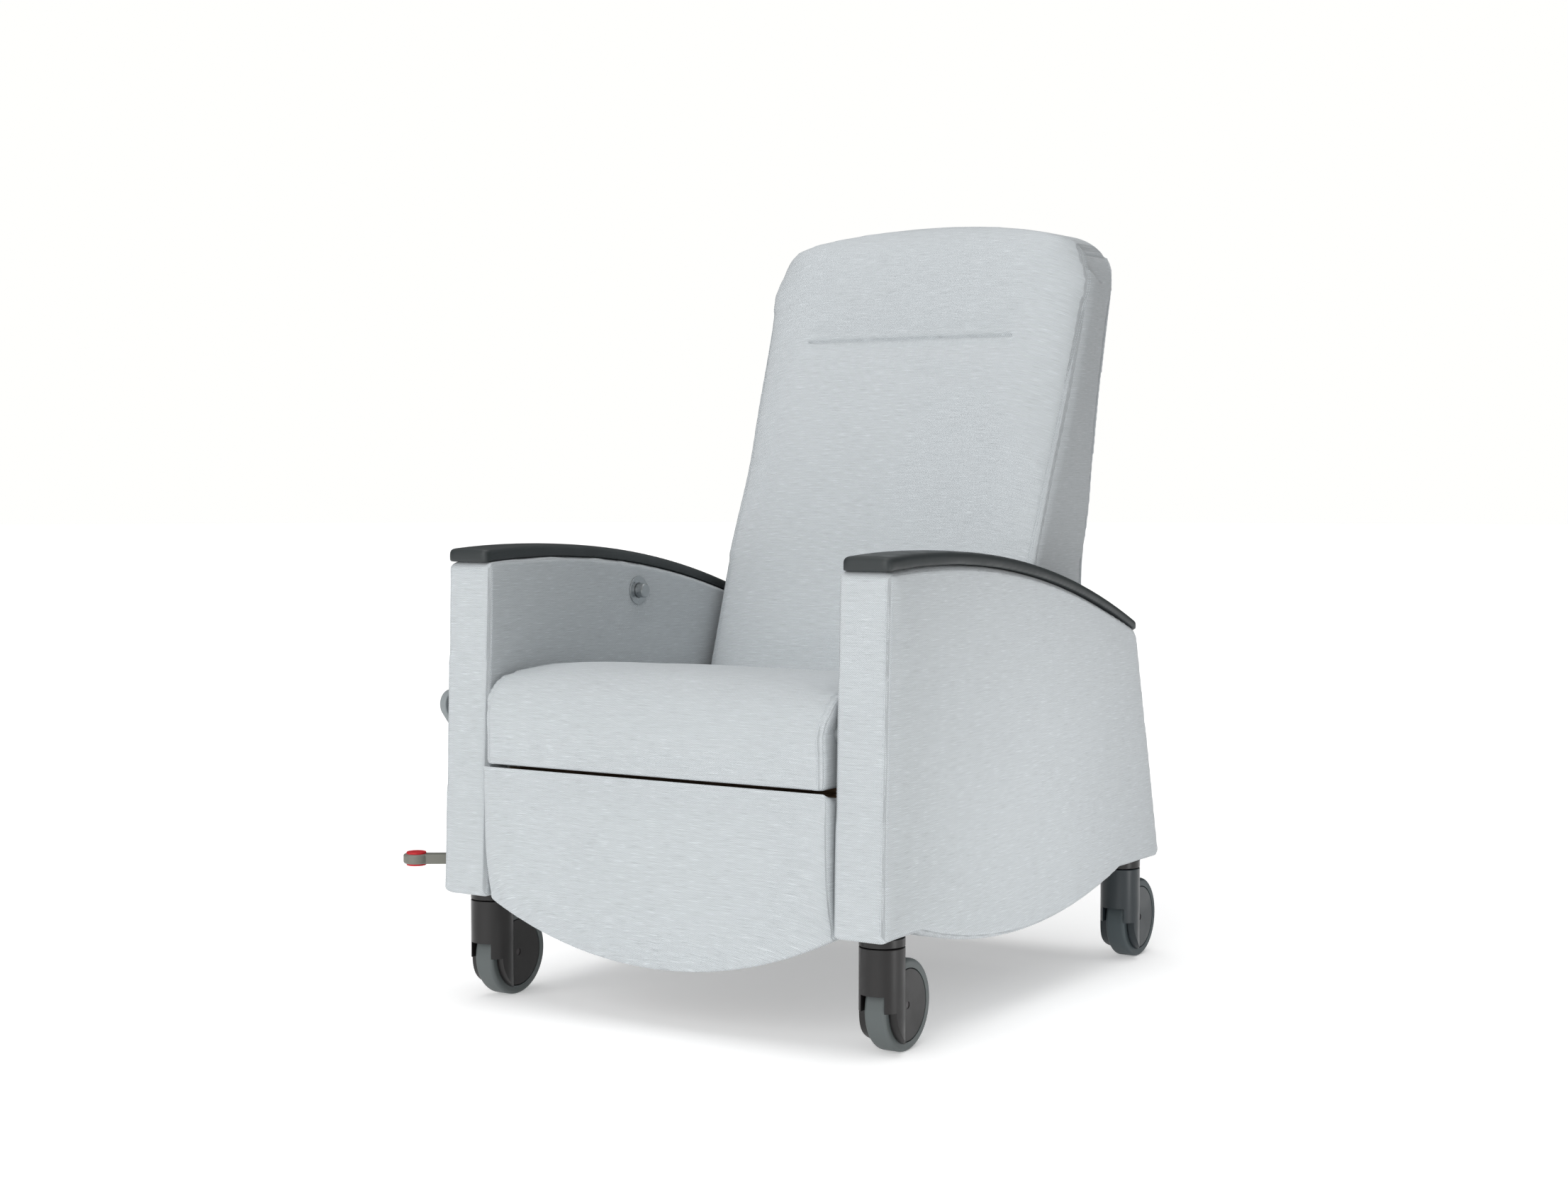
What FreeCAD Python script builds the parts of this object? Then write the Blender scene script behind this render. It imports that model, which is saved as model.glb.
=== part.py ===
import FreeCAD, Part

import cmath
import math
import os

# Patient recliner chair on four swivel casters. Millimetres and degrees.
# Origin: on the floor, at the centre of the four caster swivel axes.
# +X is the sitter's left, +Y the rear, +Z up. The chair is drawn upright with the leg rest down.

# ---- driving dimensions ----
# arms: outline in the side view
ARM_OUT, ARM_IN = 372.5, 291.5
ARM_WALL = 14.0
ARM_FRONT_BOTTOM, ARM_FRONT_TOP = -443.0, -426.0
ARM_TOP_APEX_Y, ARM_TOP_APEX_Z, ARM_TOP_R = -293.0, 649.0, 1766.0
ARM_REAR_TOP_Y, ARM_REAR_TOP_Z = 357.0, 520.0
ARM_REAR_BOTTOM_Y, ARM_BOTTOM_Z = 449.0, 161.0
ARM_REAR_CORNER_R = 15.0
BELLY_Y, BELLY_Z, BELLY_R = -16.5, 114.5, 1165.0
# arm caps
CAP_IN, CAP_OUT = 297.5, 370.5
CAP_FRONT, CAP_REAR = -428.0, 352.0
CAP_APEX_Y, CAP_APEX_Z, CAP_R = -303.0, 666.7, 1770.0
CAP_EDGE_R, CAP_CORNER_R = 6.0, 9.0
CAP_SCREW_Y = (-350.0, -80.0, 190.0)
# casters
CASTER_X, CASTER_Y = 331.7, 377.6
WHEEL_R, WHEEL_TRAIL = 62.5, 41.0
TYRE_HALF, TYRE_INNER_R, TYRE_SHOULDER = 16.3, 50.0, 5.5
HUB_HALF = 11.5
HOUSING_R, HOUSING_TOP = 31.0, 147.5
SLOT_HALF, SLOT_FRONT_TOP, SLOT_R = 18.0, 85.0, 65.0
DISC_R, DISC_IN, DISC_OUT = 48.9, 12.0, 16.0
LEG_TRIM_R = 52.0
AXLE_R = 5.0
STEM_R, STEM_TOP, SPIGOT_R, SPIGOT_BOTTOM = 14.0, 244.0, 8.0, 124.0
COLLAR_BOTTOM, COLLAR_TOP = 148.8, 159.6
SOCKET_R, SOCKET_BOTTOM, SOCKET_TOP = 19.0, 165.0, 252.0
RUNNING = 0.05
# steel side frames and cross tubes
TUBE, TUBE_WALL = 25.0, 2.0
RAIL_Z = 313.5
TOP_RAIL_FRONT_Z, TOP_RAIL_REAR_Z = 597.0, 556.0
CROSS_R = 12.5
FRONT_CROSS_Y, REAR_CROSS_Z, MID_CROSS_Z = -345.0, 275.0, 240.0
# back: pivot, front plane and outline
PIVOT_Y, PIVOT_Z = 157.0, 400.0
BACK_LEAN = math.atan(0.339)
BACK_FRONT = 78.0
BACK_LOW_HALF, BACK_HIGH_HALF = 270.0, 281.0
BACK_LOW_Z, BACK_HIGH_Z = 459.0, 1113.0
BACK_TOP_Z, BACK_TOP_ARCH_R = 1177.0, 1078.0
BACK_SKIN = 4.0
POCKET_DEPTH, SIDE_WALL, TOP_WALL = 62.0, 27.0, 55.0
BACK_REAR_Y, BACK_REAR_LOW_Z = 360.0, 312.0
BACK_TUBE_X, BACK_TUBE_TOP = 226.0, 680.0
SHAFT_R, SHAFT_END = 10.0, 345.0
BUSH_R, BOSS_R = 13.0, 22.0
# seat
SEAT_HALF, SEAT_BOTTOM = 280.0, 356.0
SEAT_REAR_GAP = 81.0
SEAT_RAIL_BOTTOM, SEAT_RAIL_TOP, SEAT_RAIL = 326.0, 354.0, 30.0
SEAT_RAIL_FRONT, SEAT_RAIL_REAR, SEAT_RAIL_OUT = -380.0, 50.0, 276.0
SPRING_WIRE_R, SPRING_Z, SPRING_LOOP_R = 2.0, 345.0, 12.0
SPRING_REACH, SPRING_CORNER_R, SPRING_LEAD = 14.0, 8.0, 20.0
SPRING_X = (-190.0, -95.0, 0.0, 95.0, 190.0)
# leg rest
LEG_Y, LEG_Z = -412.0, 430.0
LEG_CLEAR_R, LEG_TOP = 85.5, 354.5
LEG_HALF, LEG_CORNER_Z, LEG_LOW_Z = 290.0, 159.0, 88.0
PAD_FRONT, PAD_REAR, BOARD_REAR = -451.0, -404.0, -392.0
BOARD_HALF, BOARD_NOTCH_HALF, BOARD_NOTCH_Z = 284.0, 240.0, 236.0
BRACKET_IN, BRACKET_OUT, BRACKET_EYE_R, LEG_PIN_R = 285.0, 290.0, 11.0, 6.0
PIN_HEAD_R = 9.0
# lower rear panel
VALANCE_LOW, VALANCE_HIGH, VALANCE_HALF, VALANCE_THICK, VALANCE_INSET = 166.0, 322.0, 291.0, 14.0, 8.0
# recline gas spring
ANCHOR_Y, ANCHOR_Z = -190.0, 290.0
CRANK_Y, CRANK_Z = 211.5, 322.2
CYLINDER_R, CYLINDER_WALL, CYLINDER_END = 14.0, 3.0, 230.0
ROD_R, PISTON_AT, OPEN_EYE_R, CRANK_PIN_R = 5.0, 150.0, 8.5, 3.5
CRANK_HUB_R = 15.0
# recline button, on the inner face of the sitter's right arm
BUTTON_Y, BUTTON_Z = -65.5, 590.3
BEZEL_R, BEZEL_HOLE_R, BEZEL_THICK = 22.5, 12.2, 1.5
BUTTON_R, BUTTON_OUT, BUTTON_TRAVEL = 11.2, 15.0, 6.0
SLEEVE_R, SLEEVE_DEPTH = 14.0, 21.0
# leg rest release lever, on the outer face of the sitter's right arm
LEVER_HUB_Y, LEVER_HUB_Z, LEVER_HUB_R = -316.0, 338.0, 17.0
LEVER_TIP_Y, LEVER_TIP_Z, LEVER_TIP_R = -391.0, 433.0, 21.0
LEVER_FACE, LEVER_THICK = -402.0, 13.0
LEVER_BUSH_R, LEVER_SHAFT_R = 9.0, 5.0
# central brake
BAR_Z, BAR_FLATS = 200.0, 11.0
BAR_BUSH_R, BAR_HOLE_R, CAM_R = 10.0, 11.0, 10.0
BAR_ARM, LINK_X, LINK_PIN_R, LINK_EYE_R = 20.0, 254.0, 4.0, 7.0
PEDAL_X, PEDAL_Y, PEDAL_Z, PEDAL_R = -437.0, -424.0, 204.0, 19.0
PAD_R, PAD_GROOVE, PEDAL_HALF, PAD_SEAT, PAD_TOP = 14.5, 0.7, 7.0, 5.5, 10.0
PEDAL_HUB_OUT = -404.0

FAR = 2000.0
V = FreeCAD.Vector
os.makedirs("parts", exist_ok=True)


# ---- shape helpers ----
def put(plane, level, a, b):
    """A point of a plane's own (a, b) at its level."""
    return {"yz": V(level, a, b), "xz": V(a, level, b), "xy": V(a, b, level)}[plane]


def slab(plane, low, high, start, *steps):
    """A closed outline pushed from low to high. A step is a point, or (middle, end) of an arc."""
    edges, here = [], start
    for step in (*steps, start):
        arc = isinstance(step[0], tuple)
        end = step[1] if arc else step
        if math.dist(here, end) > 1e-6:
            ends = put(plane, low, *here), put(plane, low, *end)
            if arc:
                edges.append(Part.Arc(ends[0], put(plane, low, *step[0]), ends[1]).toShape())
            else:
                edges.append(Part.LineSegment(*ends).toShape())
        here = end
    push = put(plane, high - low, 0, 0)
    return Part.Face(Part.Wire(edges)).extrude(push)


def rounded(plane, low, high, *corners):
    """A polygon pushed from low to high, each corner (a, b, radius) rounded."""
    steps = []
    for i, (a, b, r) in enumerate(corners):
        tip = complex(a, b)
        before = complex(*corners[i - 1][:2]) - tip
        after = complex(*corners[(i + 1) % len(corners)][:2]) - tip
        before, after = before / abs(before), after / abs(after)
        half = abs(cmath.phase(after / before)) / 2
        inward = (before + after) / abs(before + after) if r else 0
        first = tip + before * r / math.tan(half)
        last = tip + after * r / math.tan(half)
        middle = tip + inward * (r / math.sin(half) - r)
        steps.append((first.real, first.imag))
        if r:
            steps.append(((middle.real, middle.imag), (last.real, last.imag)))
    return slab(plane, low, high, *steps)


def box(x0, x1, y0, y1, z0, z1):
    return Part.makeBox(x1 - x0, y1 - y0, z1 - z0, V(x0, y0, z0))


def rod_x(x0, x1, y, z, r):
    return Part.makeCylinder(r, x1 - x0, V(x0, y, z), V(1, 0, 0))


def rod_y(y0, y1, x, z, r):
    return Part.makeCylinder(r, y1 - y0, V(x, y0, z), V(0, 1, 0))


def rod_z(z0, z1, x, y, r):
    return Part.makeCylinder(r, z1 - z0, V(x, y, z0), V(0, 0, 1))


def bar_between(start, end, r, x=0.0):
    """A round bar between two (y, z) points at one x."""
    a, b = V(x, *start), V(x, *end)
    return Part.makeCylinder(r, (b - a).Length, a, b - a)


def strip(x0, x1, start, end, r0, r1):
    """A flat link between two eyes of radius r0 and r1, at (y, z) points."""
    line = complex(*end) - complex(*start)
    turn = math.acos((r0 - r1) / abs(line))
    sides = []
    for sign in (1, -1):
        side = line / abs(line) * cmath.exp(1j * sign * turn)
        sides.append((complex(*start) + side * r0, complex(*end) + side * r1))
    points = [sides[0][0], sides[0][1], sides[1][1], sides[1][0]]
    web = slab("yz", x0, x1, *((p.real, p.imag) for p in points))
    return fuse(web, rod_x(x0, x1, *start, r0), rod_x(x0, x1, *end, r1))


def fuse(first, *others):
    return first.multiFuse(list(others)).removeSplitter()


def cut(first, *tools):
    for tool in tools:
        first = first.cut(tool)
    return first


def mirrored(shape):
    return shape.mirror(V(0, 0, 0), V(1, 0, 0))


def both(shape):
    """The shape and its mirror image, as separate solids."""
    return [shape, mirrored(shape)]


def softened(shape, radius, wanted):
    """Rounds the edges that a test picks."""
    return shape.makeFillet(radius, [edge for edge in shape.Edges if wanted(edge)])


def outer_edge(plane_axis, level):
    """Picks the edges that lie in one plane across an axis."""
    def wanted(edge):
        box_ = edge.BoundBox
        low, high = getattr(box_, plane_axis + "Min"), getattr(box_, plane_axis + "Max")
        return abs(low - level) < 1e-4 and abs(high - level) < 1e-4
    return wanted


def hexagon_x(x0, x1, y, z, flats):
    r = flats / math.sqrt(3)
    corners = [(y + r * math.cos(math.radians(a)), z + r * math.sin(math.radians(a)))
               for a in range(0, 360, 60)]
    return slab("yz", x0, x1, *corners)


def save(name, shapes):
    """Writes one node, as one solid or as a group of separate solids."""
    shapes = shapes if isinstance(shapes, list) else [shapes]
    solids = [solid for shape in shapes for solid in shape.Solids]
    whole = solids[0] if len(solids) == 1 else Part.makeCompound(solids)
    good = all(solid.isValid() and solid.Volume > 0 for solid in solids)
    print(f"{name:28s} solids {len(solids):3d}  cm3 {whole.Volume / 1000:9.2f}  valid {good}")
    whole.exportStep(f"parts/{name}.step")


# ---- arms ----
def arc_height(y, apex_y, apex_z, r):
    """Height of a circular arc that is level at its apex."""
    return apex_z - r + math.sqrt(r * r - (y - apex_y) ** 2)


def arm_top(y, inset=0.0):
    return arc_height(y, ARM_TOP_APEX_Y, ARM_TOP_APEX_Z - inset, ARM_TOP_R - inset)


def belly_half(inset):
    """Half the length of the belly where it meets the flat underside."""
    r = BELLY_R - inset
    rise = ARM_BOTTOM_Z - BELLY_Z
    return math.sqrt(r * r - (r - rise) ** 2)


def arm_slab(x0, x1, inset=0.0):
    """The arm's side outline, drawn in by the inset all round, between two x."""
    lean = (ARM_REAR_BOTTOM_Y - ARM_REAR_TOP_Y) / (ARM_REAR_TOP_Z - ARM_BOTTOM_Z)
    shift = inset * math.hypot(1, lean)
    front_top = ARM_FRONT_TOP + inset
    front_bottom = ARM_FRONT_BOTTOM + inset
    rear_top = ARM_REAR_TOP_Y - 5 - shift
    floor = ARM_BOTTOM_Z + inset
    rear_low = ARM_REAR_BOTTOM_Y - shift - lean * inset
    corner = ARM_REAR_CORNER_R
    return slab(
        "yz", x0, x1,
        (front_bottom, floor),
        (front_top, arm_top(front_top, inset)),
        ((0, arm_top(0, inset)), (rear_top, arm_top(rear_top, inset))),
        (ARM_REAR_TOP_Y - shift, ARM_REAR_TOP_Z - inset),
        (rear_low - corner * lean, floor + corner),
        ((rear_low - corner * 0.26, floor + corner * 0.28), (rear_low - corner, floor)),
        (BELLY_Y + belly_half(inset), floor),
        ((BELLY_Y, BELLY_Z + inset), (BELLY_Y - belly_half(inset), floor)),
    )


def cap_screws():
    """Screws up through an arm's top wall into its cap, for the left arm."""
    screws = []
    for y in CAP_SCREW_Y:
        under = arm_top(y, ARM_WALL)
        x = (CAP_IN + CAP_OUT) / 2
        shank = rod_z(under - 6, under + ARM_WALL + 9, x, y, 2.5)
        head = rod_z(under - 6, under - 1, x, y, 5)
        screws.append(fuse(shank, head))
    return screws


def arm_cover():
    """The upholstered shell of the left arm, hollow for its steel frame."""
    cover = cut(arm_slab(ARM_IN, ARM_OUT), arm_slab(ARM_IN + ARM_WALL, ARM_OUT - ARM_WALL, ARM_WALL))
    inner_wall = (ARM_IN - 5, ARM_IN + ARM_WALL + 1)
    holes = [rod_z(0, SOCKET_BOTTOM + ARM_WALL, CASTER_X, y, SOCKET_R + 0.5) for y in (-CASTER_Y, CASTER_Y)]
    holes += [rod_x(*inner_wall, y, BAR_Z, BAR_HOLE_R) for y in (-CASTER_Y, CASTER_Y)]
    holes += [rod_x(*inner_wall, y, z, CROSS_R) for y, z in cross_tube_places()]
    holes.append(rod_x(*inner_wall, PIVOT_Y, PIVOT_Z, 15))
    holes.append(rod_x(*inner_wall, LEG_Y, LEG_Z, LEG_PIN_R))
    holes.append(seat_bracket())
    return cut(cover, *holes, *cap_screws())


def right_arm_cover():
    """The right arm also carries the button, the lever and the brake pedal's bar."""
    cover = mirrored(arm_cover())
    outer_wall = (-ARM_OUT - 5, -ARM_OUT + ARM_WALL + 1)
    return cut(
        cover,
        rod_x(-ARM_IN - ARM_WALL - 1, -ARM_IN + 1, BUTTON_Y, BUTTON_Z, SLEEVE_R),
        rod_x(*outer_wall, LEVER_HUB_Y, LEVER_HUB_Z, LEVER_BUSH_R),
        rod_x(*outer_wall, -CASTER_Y, BAR_Z, BAR_BUSH_R),
    )


def arm_cap():
    """The moulded cap along the left arm's top, a slab between two arcs with eased edges."""
    def top(y):
        return arc_height(y, CAP_APEX_Y, CAP_APEX_Z, CAP_R)

    cap = slab(
        "yz", CAP_IN, CAP_OUT,
        (CAP_FRONT, arm_top(CAP_FRONT)),
        (CAP_FRONT, top(CAP_FRONT)),
        ((0, top(0)), (CAP_REAR, top(CAP_REAR))),
        (CAP_REAR, arm_top(CAP_REAR)),
        ((0, arm_top(0)), (CAP_FRONT, arm_top(CAP_FRONT))),
    )

    def end_corner(edge):
        line = edge.BoundBox
        return line.ZLength > 8 and line.YLength < 1e-3 and line.XLength < 1e-3

    cap = softened(cap, CAP_CORNER_R, end_corner)

    def rim(edge):
        middle = edge.valueAt((edge.FirstParameter + edge.LastParameter) / 2)
        return middle.z > top(middle.y) - 0.5

    return cut(softened(cap, CAP_EDGE_R, rim), *cap_screws())


# ---- steel frame ----
def cross_tube_places():
    """(y, z) of the front, middle and rear cross tubes."""
    return (FRONT_CROSS_Y, RAIL_Z), (PIVOT_Y, MID_CROSS_Z), (CASTER_Y, REAR_CROSS_Z)


def side_frame():
    """Left side frame: three posts, two rails, two caster sockets and one pivot boss."""
    def members(half, inset):
        x0, x1 = CASTER_X - half, CASTER_X + half
        slope = (TOP_RAIL_REAR_Z - TOP_RAIL_FRONT_Z) / (PIVOT_Y + CASTER_Y)
        front, middle, rear = -CASTER_Y, PIVOT_Y, CASTER_Y
        lean = half * math.hypot(1, slope)
        return [
            box(x0, x1, front - half, front + half, SOCKET_TOP - 6 + inset, TOP_RAIL_FRONT_Z + half),
            box(x0, x1, middle - half, middle + half, MID_CROSS_Z - 13 + inset, TOP_RAIL_REAR_Z + half),
            box(x0, x1, rear - half, rear + half, SOCKET_TOP - 6 + inset, RAIL_Z + half),
            box(x0, x1, front - half, rear + half, RAIL_Z - half, RAIL_Z + half),
            slab("yz", x0, x1,
                 (front, TOP_RAIL_FRONT_Z - lean), (front, TOP_RAIL_FRONT_Z + lean),
                 (middle, TOP_RAIL_REAR_Z + lean), (middle, TOP_RAIL_REAR_Z - lean)),
        ]

    outside = fuse(*members(TUBE / 2, 0.0))
    frame = cut(outside, fuse(*members(TUBE / 2 - TUBE_WALL, 12.0)))
    sockets = [rod_z(SOCKET_BOTTOM, SOCKET_TOP, CASTER_X, y, SOCKET_R) for y in (-CASTER_Y, CASTER_Y)]
    boss = rod_x(CASTER_X - 19.7, CASTER_X + 19.7, PIVOT_Y, PIVOT_Z, BOSS_R)
    frame = fuse(frame, boss, *sockets)
    for y in (-CASTER_Y, CASTER_Y):
        frame = cut(
            frame,
            rod_z(SOCKET_BOTTOM - 1, STEM_TOP + 0.5, CASTER_X, y, STEM_R),
            rod_x(CASTER_X - 30, CASTER_X + 30, y, BAR_Z, BAR_HOLE_R),
        )
    return cut(frame, rod_x(CASTER_X - 30, CASTER_X + 30, PIVOT_Y, PIVOT_Z, BUSH_R))


def cross_tubes():
    reach = CASTER_X - TUBE / 2
    tubes = []
    for y, z in cross_tube_places():
        tube = rod_x(-reach, reach, y, z, CROSS_R)
        tubes.append(cut(tube, rod_x(-reach - 1, reach + 1, y, z, CROSS_R - TUBE_WALL)))
    return tubes


def seat_bracket():
    """A flat shelf from the left side frame, through the arm, under the seat frame's side rail."""
    return box(SEAT_RAIL_OUT - 22, CASTER_X - TUBE / 2, 0, 40, SEAT_RAIL_BOTTOM - 12, SEAT_RAIL_BOTTOM)


def spring_anchor():
    """Two plates clamped on the front cross tube, with the pin that holds the gas spring's tail."""
    plates = []
    for x0, x1 in ((-14, -9), (9, 14)):
        arm = strip(x0, x1, (FRONT_CROSS_Y, RAIL_Z), (ANCHOR_Y, ANCHOR_Z), 22, 14)
        above = box(x0 - 1, x1 + 1, FRONT_CROSS_Y - 40, ANCHOR_Y, SEAT_RAIL_BOTTOM - 3, SEAT_RAIL_TOP)
        plates.append(cut(arm, above, rod_x(x0 - 1, x1 + 1, FRONT_CROSS_Y, RAIL_Z, CROSS_R)))
    return fuse(*plates, rod_x(-18, 18, ANCHOR_Y, ANCHOR_Z, ROD_R))


# ---- seat ----
def seat_rear(z):
    """The seat's rear face runs parallel to the back's front plane."""
    face_y = PIVOT_Y - SEAT_REAR_GAP / math.cos(BACK_LEAN)
    return face_y + (z - PIVOT_Z) * math.tan(BACK_LEAN)


def seat_cushion():
    top_rear = 459.3
    return slab(
        "yz", -SEAT_HALF, SEAT_HALF,
        (-450.5, SEAT_BOTTOM),
        (-450.5, 404.0),
        ((-441.0, 457.0), (-410.0, 481.5)),
        ((-327.0, 491.0), (-240.0, 487.3)),
        (seat_rear(top_rear), top_rear),
        (seat_rear(SEAT_BOTTOM), SEAT_BOTTOM),
    )


def seat_frame():
    """Four hardwood rails."""
    inner = SEAT_RAIL_OUT - SEAT_RAIL
    heights = (SEAT_RAIL_BOTTOM, SEAT_RAIL_TOP)
    across = [
        box(-SEAT_RAIL_OUT, SEAT_RAIL_OUT, SEAT_RAIL_FRONT, SEAT_RAIL_FRONT + SEAT_RAIL, *heights),
        box(-SEAT_RAIL_OUT, SEAT_RAIL_OUT, SEAT_RAIL_REAR - SEAT_RAIL, SEAT_RAIL_REAR, *heights),
    ]
    side = box(inner, SEAT_RAIL_OUT, SEAT_RAIL_FRONT + SEAT_RAIL, SEAT_RAIL_REAR - SEAT_RAIL, *heights)
    return across + both(side)


def sinuous_spring(x):
    """A zigzag wire from the front rail to the rear rail: straight bars joined by half circles."""
    start, end = SEAT_RAIL_FRONT + SEAT_RAIL, SEAT_RAIL_REAR - SEAT_RAIL
    step = 2 * SPRING_LOOP_R
    turns = int((end - start - SPRING_LEAD) / step)
    lead = (end - start - turns * step) / 2
    corner_in = SPRING_CORNER_R * (1 - math.sqrt(0.5))
    points = [V(x + SPRING_REACH, start, SPRING_Z)]
    edges = []

    def line(to_x, to_y):
        edges.append(Part.LineSegment(points[-1], V(to_x, to_y, SPRING_Z)).toShape())
        points.append(V(to_x, to_y, SPRING_Z))

    def arc(middle, to_x, to_y):
        edges.append(Part.Arc(points[-1], V(*middle, SPRING_Z), V(to_x, to_y, SPRING_Z)).toShape())
        points.append(V(to_x, to_y, SPRING_Z))

    y = start + lead
    line(x + SPRING_REACH, y - SPRING_CORNER_R)
    arc((x + SPRING_REACH - corner_in, y - corner_in), x + SPRING_REACH - SPRING_CORNER_R, y)
    side = 1
    for _ in range(turns):
        side = -side
        line(x + side * SPRING_REACH, y)
        arc((x + side * (SPRING_REACH + SPRING_LOOP_R), y + SPRING_LOOP_R), x + side * SPRING_REACH, y + step)
        y += step
    side = -side
    line(x + side * (SPRING_REACH - SPRING_CORNER_R), y)
    last = (x + side * (SPRING_REACH - corner_in), y + corner_in)
    arc(last, x + side * SPRING_REACH, y + SPRING_CORNER_R)
    line(x + side * SPRING_REACH, end)
    circle = Part.Wire(Part.makeCircle(SPRING_WIRE_R, V(x + SPRING_REACH, start, SPRING_Z), V(0, 1, 0)))
    return Part.Wire(edges).makePipeShell([circle], True, False)


# ---- back ----
def back_at(up, depth):
    """A (y, z) point of the back: a distance up its front plane, and a depth behind it."""
    sine, cosine = math.sin(BACK_LEAN), math.cos(BACK_LEAN)
    ahead = BACK_FRONT - depth
    return PIVOT_Y + up * sine - ahead * cosine, PIVOT_Z + up * cosine + ahead * sine


def rear_line(skin):
    """The back's rear profile from bottom to top, drawn in by the skin."""
    return (
        (BACK_REAR_Y - skin, BACK_REAR_LOW_Z),
        (BACK_REAR_Y + 1 - skin, 640.0),
        ((394.0 - skin, 882.0), (446.0 - skin, 1095.0)),
        (451.0 - skin, 1122.0),
    )


def back_outline(inset):
    """The front view outline of the back: sides that widen upwards, and an arched top."""
    slope = (BACK_HIGH_HALF - BACK_LOW_HALF) / (BACK_HIGH_Z - BACK_LOW_Z)
    low = BACK_LOW_HALF + slope * (BACK_REAR_LOW_Z - BACK_LOW_Z) - inset
    high = BACK_HIGH_HALF - inset
    shoulder = arc_height(high, 0, BACK_TOP_Z - inset, BACK_TOP_ARCH_R)
    return slab(
        "xz", -FAR / 2, FAR / 2,
        (-low, 200.0), (-low, BACK_REAR_LOW_Z), (-high, BACK_HIGH_Z), (-high, shoulder),
        ((0.0, BACK_TOP_Z - inset), (high, shoulder)),
        (high, BACK_HIGH_Z), (low, BACK_REAR_LOW_Z), (low, 200.0),
    )


def back_cushion():
    """The padded back, with a pocket behind the foam for the steel frame and a rounded lower end."""
    low_front = back_at(0, 0)
    lowest = (PIVOT_Y, PIVOT_Z - BACK_FRONT)
    turn = BACK_LEAN / 2 - math.pi / 4
    bulge = (PIVOT_Y + BACK_FRONT * math.sin(turn - 0.03), PIVOT_Z - BACK_FRONT * math.cos(turn - 0.03))
    rear = rear_line(BACK_SKIN)
    body = slab(
        "yz", -BACK_HIGH_HALF, BACK_HIGH_HALF,
        back_at(750, 0),
        low_front,
        (bulge, lowest),
        rear[0], rear[1], rear[2], rear[3],
        ((424.0, 1165.0), (378.0, BACK_TOP_Z)),
        ((344.0, 1167.0), back_at(750, 0)),
    )
    body = body.common(back_outline(0))
    half = BACK_LOW_HALF - SIDE_WALL
    pocket = slab(
        "yz", -half, half,
        back_at(-400, POCKET_DEPTH), back_at(740 - TOP_WALL, POCKET_DEPTH),
        back_at(740 - TOP_WALL, 300), back_at(-400, 500),
    )
    return cut(body, pocket, rod_x(-FAR, FAR, PIVOT_Y, PIVOT_Z, SHAFT_R))


def back_rear_panel():
    outer, inner = rear_line(0.0), rear_line(BACK_SKIN)
    return slab(
        "yz", -BACK_HIGH_HALF, BACK_HIGH_HALF,
        outer[0], outer[1], outer[2], outer[3], inner[3], inner[2][1],
        (inner[2][0], inner[1]), inner[0],
    ).common(back_outline(3))


def back_frame():
    """Two uprights on the pivot shaft, joined by three cross bars."""
    def upright(r, inset):
        low_end = back_at(-18 + inset, BACK_FRONT)
        high_end = back_at(BACK_TUBE_TOP - inset, BACK_FRONT)
        return bar_between(low_end, high_end, r, BACK_TUBE_X)

    outside = both(upright(CROSS_R, 0))
    inside = both(upright(CROSS_R - TUBE_WALL, 6))
    for up in (140.0, 400.0, BACK_TUBE_TOP - 20):
        y, z = back_at(up, BACK_FRONT)
        outside.append(rod_x(-BACK_TUBE_X, BACK_TUBE_X, y, z, 10))
        inside.append(rod_x(-BACK_TUBE_X, BACK_TUBE_X, y, z, 8))
    return cut(fuse(*outside), fuse(*inside), rod_x(-FAR, FAR, PIVOT_Y, PIVOT_Z, SHAFT_R))


def back_webbing():
    """Elastic straps across the front of the back frame, behind the foam."""
    straps = []
    for up in (90.0, 200.0, 310.0, 460.0, 570.0):
        low, high = up - 25, up + 25
        near, far = POCKET_DEPTH + 0.5, POCKET_DEPTH + 3.0
        corners = back_at(low, near), back_at(high, near), back_at(high, far), back_at(low, far)
        straps.append(slab("yz", -BACK_TUBE_X, BACK_TUBE_X, *corners))
    return straps


def pivot_shaft():
    return rod_x(-SHAFT_END, SHAFT_END, PIVOT_Y, PIVOT_Z, SHAFT_R)


def pivot_bush():
    x0, x1 = CASTER_X - 19.7, CASTER_X + 19.7
    return cut(rod_x(x0, x1, PIVOT_Y, PIVOT_Z, BUSH_R), rod_x(x0, x1, PIVOT_Y, PIVOT_Z, SHAFT_R + RUNNING))


def recline_crank():
    """A clevis on the pivot shaft, with the pin that the gas spring's rod pushes."""
    cheeks = [strip(x0, x1, (PIVOT_Y, PIVOT_Z), (CRANK_Y, CRANK_Z), CRANK_HUB_R, 11)
              for x0, x1 in ((-14, -9), (9, 14))]
    hub = rod_x(-14, 14, PIVOT_Y, PIVOT_Z, CRANK_HUB_R)
    pin = rod_x(-17, 17, CRANK_Y, CRANK_Z, CRANK_PIN_R)
    return cut(fuse(*cheeks, hub, pin), rod_x(-20, 20, PIVOT_Y, PIVOT_Z, SHAFT_R))


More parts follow.
